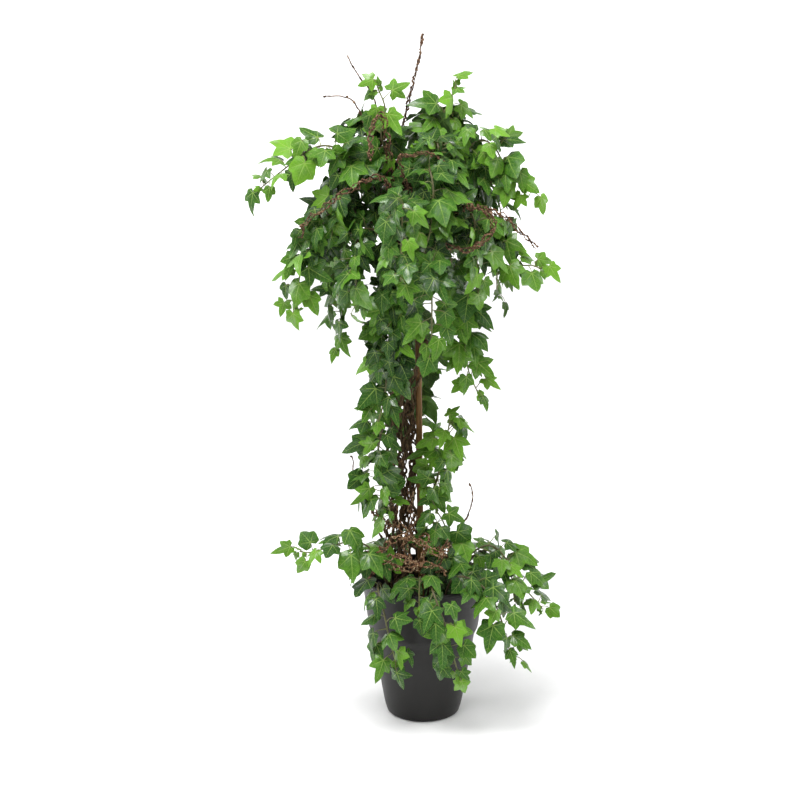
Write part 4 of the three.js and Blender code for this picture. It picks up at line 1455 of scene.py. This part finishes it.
def build_twig(index, settings):
    name, strands, wander, *routes = TWIGS[index]
    lines = [Route(route).every(2) for route in routes]
    lone = strands == 1
    mesh = run_tree("Twine strands", line_mesh(f"{name}_line", *lines), name, {
        "Strands": strands, "Strand Radius": settings.twig_strand * (2.1 if lone else 1.0),
        "Wander": wander * MM, "Crumple": 0.0003 if lone else 0.0010,
        "Bead": 0.5 if lone else 1.6, "Tip Share": 0.6 if lone else 0.75,
        "Bud Spacing": 0.022 if lone else 0.0030,
        "Bud Size": settings.bud * (1.4 if lone else 1.0), "Seed": 11 + index,
        "Finish": finish_named("dry_tangle" if name == "twig_tangle" else "papery_twig")})
    add_piece(f"bare_{name}", mesh, [name])


def build_twigs(settings):
    for index in range(len(TWIGS)):
        build_twig(index, settings)


def woody_line(index):
    """One woody stem's line, which winds round the stems' shared axis."""
    axis = [np.array(point, float) for point in WOODY_AXIS]
    points = []
    for step in range(WOODY["steps"] + 1):
        share = step / WOODY["steps"]
        angle = 2 * math.pi * (WOODY["turns"] * share + index / WOODY["stems"])
        waver = WOODY["waver"] * math.sin(WOODY["wavers"] * share + 2 * index)
        wander = WOODY["twist"] * (1 - waver)
        side = np.array([math.cos(angle), math.sin(angle), 0.0])
        points.append(curve_point(axis, share) + side * wander)
    return Route(points).every(3)


def build_woody_stem(index, settings):
    name = f"woody_stem_{index + 1}"
    lines = [woody_line(index), Route(LOOSE_BUNDLES[index]).every(3)]
    mesh = run_tree("Twine strands", line_mesh(f"{name}_line", *lines), name, {
        "Strands": settings.stem_strands, "Strand Radius": settings.stem_strand,
        "Wander": settings.stem_wander, "Pitch": 0.16 + 0.04 * index, "Crumple": 0.0006,
        "Step": 0.0024, "Bead": 0.8, "Bead Scale": 210.0, "Sides": 7, "Tip Share": 0.85,
        "Bud Spacing": 0.012, "Bud Size": 0.0013, "Seed": 40 + index,
        "Finish": finish_named("woody_bark")})
    add_piece(f"twisted_{name}", mesh, [name])


def build_woody_stems(settings):
    for index in range(WOODY["stems"]):
        build_woody_stem(index, settings)


def nest_strand(random, centre, radii):
    """A twig bent round the knot, a little in or out of its neighbours."""
    pole = unit(scatter(random))
    first = unit(np.cross(pole, scatter(random)))
    second = np.cross(pole, first)
    start, sweep = 2 * math.pi * random(), math.pi * (0.7 + 1.0 * random())
    depth, sway = 0.84 + 0.2 * random(), 2 * math.pi * random()
    places = []
    for step in range(19):
        angle = start + sweep * step / 18
        level = depth * (1 + 0.05 * math.sin(3 * angle + sway))
        tilt = pole * 0.18 * math.sin(2 * angle + sway)
        heading = unit(first * math.cos(angle) + second * math.sin(angle) + tilt)
        places.append(centre + heading * radii * level)
    return places


def nest_tree():
    """Tubes on the nest's strands, roughened, round a dark fibrous core."""
    tree, given, out = geometry_tree("Wind nest", [
        ("Strand Radius", "Float", 0.0012), ("Core", "Vector", (0, 0, 0)),
        ("Core Radii", "Vector", (0.03, 0.03, 0.04)), ("Lumps", "Float", 0.2),
        ("Twig Finish", "Material", None), ("Core Finish", "Material", None)])
    fine = fine_curve(tree, given["Geometry"], 0.003)
    position = new(tree, "GeometryNodeInputPosition")
    swell = calc(tree, "MULTIPLY_ADD", noise(tree, position, 300.0, 1.0), 2.2, 0.4)
    radius = calc(tree, "MULTIPLY", given["Strand Radius"], swell)
    tubes = tube_along(tree, fine, radius, 6)
    ball = new(tree, "GeometryNodeMeshIcoSphere", {"Radius": 1.0, "Subdivisions": 5})
    rough = calc(tree, "SUBTRACT", noise(tree, position, 5.0, 5.0), 0.5)
    level = calc(tree, "MULTIPLY_ADD", rough, given["Lumps"], 0.84)
    scaled = vector_calc(tree, "MULTIPLY", vector_calc(tree, "SCALE", position, level),
                         given["Core Radii"])
    core = new(tree, "GeometryNodeSetPosition",
               {"Geometry": ball, "Position": vector_calc(tree, "ADD", scaled, given["Core"])})
    joined(tree, out, painted(tree, tubes, given["Twig Finish"]),
           painted(tree, core, given["Core Finish"]))
    return tree


def build_knot(settings):
    low, high = in_mm(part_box("crown_knot"))
    centre, radii = (low + high) / 2, (high - low) / 2
    random = seeded(2024)
    strands = [nest_strand(random, centre, radii) for _ in range(settings.nest_strands)]
    mesh = run_tree("Wind nest", line_mesh("nest_lines", *strands), "twig_nest", {
        "Strand Radius": settings.twig_strand, "Core": tuple(centre * MM),
        "Core Radii": tuple(radii * MM), "Twig Finish": finish_named("papery_twig"),
        "Core Finish": finish_named("woody_bark")})
    add_piece("twig_nest", mesh, ["crown_knot"])


def stake_tree():
    """A smooth round stake with faint swellings, rounded off at both ends."""
    tree, given, out = geometry_tree("Turn stake", [
        ("Radius", "Float", 0.0033), ("Sides", "Int", 24),
        ("Finish", "Material", None)])
    fine = fine_curve(tree, given["Geometry"], 0.004)
    position = new(tree, "GeometryNodeInputPosition")
    knots = calc(tree, "SUBTRACT", noise(tree, position, 34.0, 2.0), 0.5)
    swell = calc(tree, "MULTIPLY_ADD", knots, 0.22, 1.0)
    along = put(tree, "GeometryNodeSplineParameter").outputs
    edge = calc(tree, "PINGPONG", along["Factor"], 0.5)
    rounded = smooth_step(tree, edge, 0.0, 0.006, 0.45, 1.0)
    radius = product(tree, given["Radius"], swell, rounded)
    joined(tree, out, painted(tree, tube_along(tree, fine, radius,
                                               given["Sides"]), given["Finish"]))
    return tree


def stake_ends():
    """The middle of the stake's lower and upper end, and its radius, in millimetres."""
    low, high = in_mm(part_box("stake"))
    corners = np.array([corner.co for corner in frame["nodes"]["stake"].data.vertices]) / MM
    foot = corners[corners[:, 2] < low[2] + 1].mean(axis=0)
    head = corners[corners[:, 2] > high[2] - 1].mean(axis=0)
    return foot, head, (high[1] - low[1]) / 2


def build_stake(settings):
    foot, head, radius = stake_ends()
    places = [foot + (head - foot) * share for share in np.linspace(0, 1, 40)]
    mesh = run_tree("Turn stake", line_mesh("stake_line", places), "stake", {
        "Radius": radius * MM, "Sides": settings.stake_sides,
        "Finish": finish_named("stake_wood")})
    add_piece("smooth_stake", mesh, ["stake"])


# ---------------------------------------------------------------------------------------------
# Pot and soil, turned from their outlines.
# ---------------------------------------------------------------------------------------------

POT_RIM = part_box("pot")[1].x
POT_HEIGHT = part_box("pot")[1].z
# Corners closer than this, in metres, are one corner.
DOUBLED = 0.000001


def rounded_outline(points, steps=6):
    """An outline whose corners are turned into arcs. Each point is radius, height, roundness."""
    outline = []
    for index, (radius, height, roundness) in enumerate(points):
        here = np.array([radius, height])
        if roundness == 0 or index in (0, len(points) - 1):
            outline.append(here)
            continue
        before, after = (np.array(points[index + side][:2]) - here for side in (-1, 1))
        start, end = here + unit(before) * roundness, here + unit(after) * roundness
        for step in range(steps + 1):
            t = step / steps
            outline.append((1 - t) ** 2 * start + 2 * (1 - t) * t * here + t ** 2 * end)
    return outline


def pot_outline(settings):
    """The pot's wall from the middle of its underside, out and up, over the lip and back inside."""
    rim, height, wall, lip = POT_RIM / MM, POT_HEIGHT / MM, settings.wall / MM, settings.lip / MM
    foot, low, step, collar = rim * 0.5, rim * 0.62, rim * 0.833, rim * 0.886
    floor, step_height = 4.0, 91.0
    return rounded_outline([
        (0, 0.0, 0), (foot, 0.0, 1), (low - 2.5, 0.6, 2.2), (low + 0.6, 11.0, 5.0),
        (step, step_height, 3.6), (collar, step_height + 6.5, 3.2),
        (rim - 0.9, height - 6.0, 1.2), (rim, height - 3.4, 1.6), (rim - 0.2, height, 1.5),
        (rim - lip, height - 0.2, 1.3), (rim - lip - 0.6, height - 5.5, 2.0),
        (collar - wall, step_height + 7.0, 3.0), (step - wall, step_height + 1.0, 3.0),
        (low - wall, floor + 6.0, 4.0), (low - wall - 5, floor, 2.0), (0, floor, 0)])


def lathe_tree():
    """Turns an outline round the Z axis into a closed wall, roughened where asked."""
    tree, given, out = geometry_tree("Turn outline", [
        ("Segments", "Int", 96), ("Points", "Int", 10),
        ("Swell", "Float", 0.0), ("Swell From", "Float", 1.0),
        ("Finish", "Material", None)])
    grid = new(tree, "GeometryNodeMeshGrid",
               {"Vertices X": calc(tree, "ADD", given["Segments"], 1.0),
                "Vertices Y": given["Points"]})
    index = new(tree, "GeometryNodeInputIndex")
    column = calc(tree, "FLOOR", calc(tree, "DIVIDE", calc(tree, "ADD", index, 0.5),
                                      given["Points"]))
    row = calc(tree, "SUBTRACT", index, calc(tree, "MULTIPLY", column, given["Points"]))
    source = new(tree, "GeometryNodeInputPosition")
    sample = new(tree, "GeometryNodeSampleIndex",
                 {"Geometry": given["Geometry"], "Value": source, "Index": row},
                 data_type="FLOAT_VECTOR", domain="POINT")
    angle = calc(tree, "MULTIPLY", calc(tree, "DIVIDE", column, given["Segments"]), 2 * math.pi)
    turned = new(tree, "ShaderNodeVectorRotate", {"Vector": sample, "Angle": angle},
                 rotation_type="Z_AXIS")
    wall = new(tree, "GeometryNodeSetPosition", {"Geometry": grid, "Position": turned})
    closed = new(tree, "GeometryNodeMergeByDistance", {"Geometry": wall, "Distance": DOUBLED})
    lumps = calc(tree, "SUBTRACT", noise(tree, source, 95.0, 4.0), 0.5)
    above = calc(tree, "GREATER_THAN", split(tree, source)["Z"], given["Swell From"])
    rise = calc(tree, "MULTIPLY", lumps, calc(tree, "MULTIPLY", above, given["Swell"]))
    offset = new(tree, "ShaderNodeCombineXYZ", {"X": 0.0, "Y": 0.0, "Z": rise})
    joined(tree, out, painted(tree, shifted(tree, closed, offset), given["Finish"]))
    return tree


def turned_mesh(name, outline, segments, finish, swell=0.0, swell_from=1.0):
    skeleton = mesh_from(f"{name}_outline", [(radius * MM, 0.0, height * MM)
                                             for radius, height in outline])
    return run_tree("Turn outline", skeleton, name, {
        "Segments": segments, "Points": len(outline), "Swell": swell, "Swell From": swell_from,
        "Finish": finish_named(finish)})


def face_outwards(mesh):
    """Makes a closed shell's faces point out, its doubled corners merged first."""
    shell = bmesh.new()
    shell.from_mesh(mesh)
    bmesh.ops.remove_doubles(shell, verts=shell.verts, dist=DOUBLED)
    bmesh.ops.recalc_face_normals(shell, faces=shell.faces)
    shell.to_mesh(mesh)
    shell.free()


def build_pot(settings):
    mesh = turned_mesh("pot", pot_outline(settings), settings.segments, "pot_plastic")
    face_outwards(mesh)
    add_piece("plant_pot", mesh, ["pot"])


def soil_outline():
    """The soil's body just inside the pot's wall, with a surface of many rings."""
    low, high = in_mm(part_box("soil"))
    rim, top = high[0], high[2]
    side = [(0, low[2]), (rim * 0.50, low[2]), (rim * 0.60, low[2] + 5), (rim * 0.80, 91.0),
            (rim * 0.875, 98.5), (rim, top - 2.5), (rim - 1.5, top - 1.2)]
    surface = [(radius, top - 0.6) for radius in np.linspace(rim - 3, 0, 26)]
    return side + surface


def crumb_tree():
    """Scatters crumbs over the top of the soil."""
    tree, given, out = geometry_tree("Scatter crumbs", [
        ("Amount", "Int", 900), ("Size", "Float", 0.0014),
        ("Surface", "Float", 0.12), ("Finish", "Material", None)])
    position = new(tree, "GeometryNodeInputPosition")
    height = split(tree, position)["Z"]
    above = new(tree, "FunctionNodeCompare", {"A": height, "B": given["Surface"]},
                data_type="FLOAT", operation="GREATER_THAN")
    area = calc(tree, "DIVIDE", given["Amount"], math.pi * POT_RIM ** 2 * 0.78)
    spots = new(tree, "GeometryNodeDistributePointsOnFaces",
                {"Mesh": given["Geometry"], "Selection": above, "Density": area, "Seed": 5})
    crumb = new(tree, "GeometryNodeMeshUVSphere", {"Radius": 1.0, "Segments": 7, "Rings": 5})
    dents = calc(tree, "SUBTRACT", noise(tree, position, 1.6, 1.0), 0.6)
    dented = shifted(tree, crumb, vector_calc(tree, "SCALE", position, dents))
    turn = random_vector(tree, (0, 0, 0), (6.28, 6.28, 6.28), 3)
    shape = random_vector(tree, (0.5, 0.5, 0.4), (1.8, 1.5, 1.1), 9)
    crumbs = planted(tree, {"Points": spots, "Instance": dented, "Rotation": turn,
                            "Scale": vector_calc(tree, "SCALE", shape, given["Size"])})
    joined(tree, out, given["Geometry"], painted(tree, crumbs, given["Finish"]))
    return tree


def build_soil(settings):
    outline = soil_outline()
    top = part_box("soil")[1].z
    body = turned_mesh("soil_body", outline, 72, "soil", settings.swell * 2, top - 0.002)
    face_outwards(body)
    mesh = run_tree("Scatter crumbs", body, "soil", {
        "Amount": settings.crumbs, "Size": settings.crumb, "Surface": top - 0.004,
        "Finish": finish_named("soil")})
    add_piece("crumbly_soil", mesh, ["soil"])


# Every node group by its name, and the function that makes it.
GROUPS = {
    "Mottle": mottle_group, "Fibre": fibre_group, "Ivy veins": vein_group,
    "Grow vine": vine_tree, "Twine strands": twine_tree, "Wind nest": nest_tree,
    "Turn stake": stake_tree, "Turn outline": lathe_tree, "Scatter crumbs": crumb_tree,
}

# ---------------------------------------------------------------------------------------------
# Stage: floor and backdrop in one sweep, soft lights, and the camera.
# ---------------------------------------------------------------------------------------------

CAMERA_PLACE = (-0.025, -3.0, 1.2906)
CAMERA_PITCH = 17.42
CAMERA_LENS = 135.2
SWEEP = {"front": -4.0, "back": 2.6, "bend": 1.4, "height": 4.5, "half_width": 5.0}


def build_stage(settings):
    build_sweep()
    build_lights(settings)
    build_camera()


def build_sweep():
    """A pale floor that curves up into a backdrop, out of the way of the object."""
    outline = [(SWEEP["front"], 0.0)]
    for step in range(17):
        angle = math.pi / 2 * step / 16
        outline.append((SWEEP["back"] + SWEEP["bend"] * math.sin(angle),
                        SWEEP["bend"] * (1 - math.cos(angle))))
    outline.append((SWEEP["back"] + SWEEP["bend"], SWEEP["height"]))
    corners, faces = [], []
    for depth, height in outline:
        corners += [(-SWEEP["half_width"], depth, height), (SWEEP["half_width"], depth, height)]
    for index in range(0, len(corners) - 2, 2):
        faces.append((index, index + 1, index + 3, index + 2))
    mesh = mesh_from("paper_sweep", corners, faces=faces)
    mesh.polygons.foreach_set("use_smooth", [True] * len(mesh.polygons))
    mesh.materials.append(finish_named("paper_floor"))
    sweep = bpy.data.objects.new("paper_sweep", mesh)
    bpy.context.scene.collection.objects.link(sweep)


def add_light(name, place, target, size, power):
    """A large soft light that faces a point."""
    light = bpy.data.lights.new(name, "AREA")
    light.shape = "RECTANGLE"
    light.size, light.size_y = size
    light.energy = power
    lamp = bpy.data.objects.new(name, light)
    bpy.context.scene.collection.objects.link(lamp)
    lamp.location = place
    lamp.rotation_euler = (Vector(target) - Vector(place)).to_track_quat("-Z", "Y").to_euler()


def build_lights(settings):
    world = bpy.data.worlds.new("daylight")
    world.use_nodes = True
    background = world.node_tree.nodes["Background"]
    background.inputs["Color"].default_value = (1.0, 1.0, 1.0, 1.0)
    background.inputs["Strength"].default_value = settings.daylight
    bpy.context.scene.world = world
    bpy.context.scene.view_settings.view_transform = "Standard"
    middle = (0.0, 0.0, 0.4)
    add_light("light_above", (-0.4, -0.8, 2.8), middle, (1.6, 1.6), settings.key)
    add_light("light_left", (-2.0, 0.5, 0.8), middle, (1.2, 2.0), settings.sides)
    add_light("light_right", (2.0, 0.3, 0.8), middle, (1.2, 2.0), settings.sides)
    add_light("light_backdrop", (0.0, 1.4, 0.6), (0.0, 4.0, 2.2), (3.0, 0.5), settings.backdrop)


def build_camera():
    camera = bpy.data.cameras.new("camera")
    camera.lens = CAMERA_LENS
    camera.sensor_width = 36.0
    camera.clip_end = 50.0
    eye = bpy.data.objects.new("camera", camera)
    bpy.context.scene.collection.objects.link(eye)
    eye.location = CAMERA_PLACE
    eye.rotation_euler = (math.radians(90 - CAMERA_PITCH), 0.0, 0.0)
    bpy.context.scene.camera = eye


# ---------------------------------------------------------------------------------------------
# Operators, panel and registration.
# ---------------------------------------------------------------------------------------------


class POTTEDIVY_OT_stage(Operator):
    """Sets up the pale sweep, the soft lights and the camera"""

    bl_idname = "potted_ivy.stage"
    bl_label = "Set Up Stage"

    def execute(self, context):
        build_stage(context.scene.potted_ivy.stage)
        return {"FINISHED"}


class POTTEDIVY_OT_pot(Operator):
    """Turns the pot from its outline"""

    bl_idname = "potted_ivy.pot"
    bl_label = "Turn Pot"

    def execute(self, context):
        build_pot(context.scene.potted_ivy.pot)
        return {"FINISHED"}


class POTTEDIVY_OT_soil(Operator):
    """Fills the pot with soil and scatters crumbs on it"""

    bl_idname = "potted_ivy.soil"
    bl_label = "Fill Soil"

    def execute(self, context):
        build_soil(context.scene.potted_ivy.soil)
        return {"FINISHED"}


class POTTEDIVY_OT_stake(Operator):
    """Turns the stake that holds the head up"""

    bl_idname = "potted_ivy.stake"
    bl_label = "Turn Stake"

    def execute(self, context):
        build_stake(context.scene.potted_ivy.wood)
        return {"FINISHED"}


class POTTEDIVY_OT_woody_stems(Operator):
    """Twists the strands of the woody stems beside the stake"""

    bl_idname = "potted_ivy.woody_stems"
    bl_label = "Twist Woody Stems"

    def execute(self, context):
        build_woody_stems(context.scene.potted_ivy.wood)
        return {"FINISHED"}


class POTTEDIVY_OT_twig_nest(Operator):
    """Winds the twig nest at the heart of the head"""

    bl_idname = "potted_ivy.twig_nest"
    bl_label = "Wind Twig Nest"

    def execute(self, context):
        build_knot(context.scene.potted_ivy.wood)
        return {"FINISHED"}


class POTTEDIVY_OT_twigs(Operator):
    """Twists the bare papery twigs"""

    bl_idname = "potted_ivy.twigs"
    bl_label = "Twist Bare Twigs"

    def execute(self, context):
        build_twigs(context.scene.potted_ivy.wood)
        return {"FINISHED"}


class POTTEDIVY_OT_vines(Operator):
    """Grows every vine with its stalks and leaves"""

    bl_idname = "potted_ivy.vines"
    bl_label = "Grow Vines"

    def execute(self, context):
        build_vines(context.scene.potted_ivy.leaves)
        return {"FINISHED"}


STEPS = [POTTEDIVY_OT_stage, POTTEDIVY_OT_pot, POTTEDIVY_OT_soil, POTTEDIVY_OT_stake,
         POTTEDIVY_OT_woody_stems, POTTEDIVY_OT_twig_nest, POTTEDIVY_OT_twigs,
         POTTEDIVY_OT_vines]


class POTTEDIVY_PT_panel(Panel):
    """Lists the steps that build the potted ivy"""

    bl_label = "Potted Ivy"
    bl_idname = "POTTEDIVY_PT_panel"
    bl_space_type = "VIEW_3D"
    bl_region_type = "UI"
    bl_category = "Potted Ivy"

    def draw(self, context):
        for step in STEPS:
            self.layout.operator(step.bl_idname)
        settings = context.scene.potted_ivy
        for part in ("pot", "soil", "wood", "leaves", "stage"):
            group = getattr(settings, part)
            box = self.layout.box()
            box.label(text=part.capitalize())
            for name in group.__annotations__:
                box.prop(group, name)


CLASSES = [PottedIvyPot, PottedIvySoil, PottedIvyWood, PottedIvyLeaves, PottedIvyStage,
           PottedIvySettings, *STEPS, POTTEDIVY_PT_panel]


def register():
    for each in CLASSES:
        bpy.utils.register_class(each)
    bpy.types.Scene.potted_ivy = PointerProperty(type=PottedIvySettings)


def unregister():
    del bpy.types.Scene.potted_ivy
    for each in reversed(CLASSES):
        bpy.utils.unregister_class(each)


def main():
    register()
    for step in STEPS:
        family, name = step.bl_idname.split(".")
        getattr(getattr(bpy.ops, family), name)()
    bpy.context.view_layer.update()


if __name__ == "__main__":
    main()
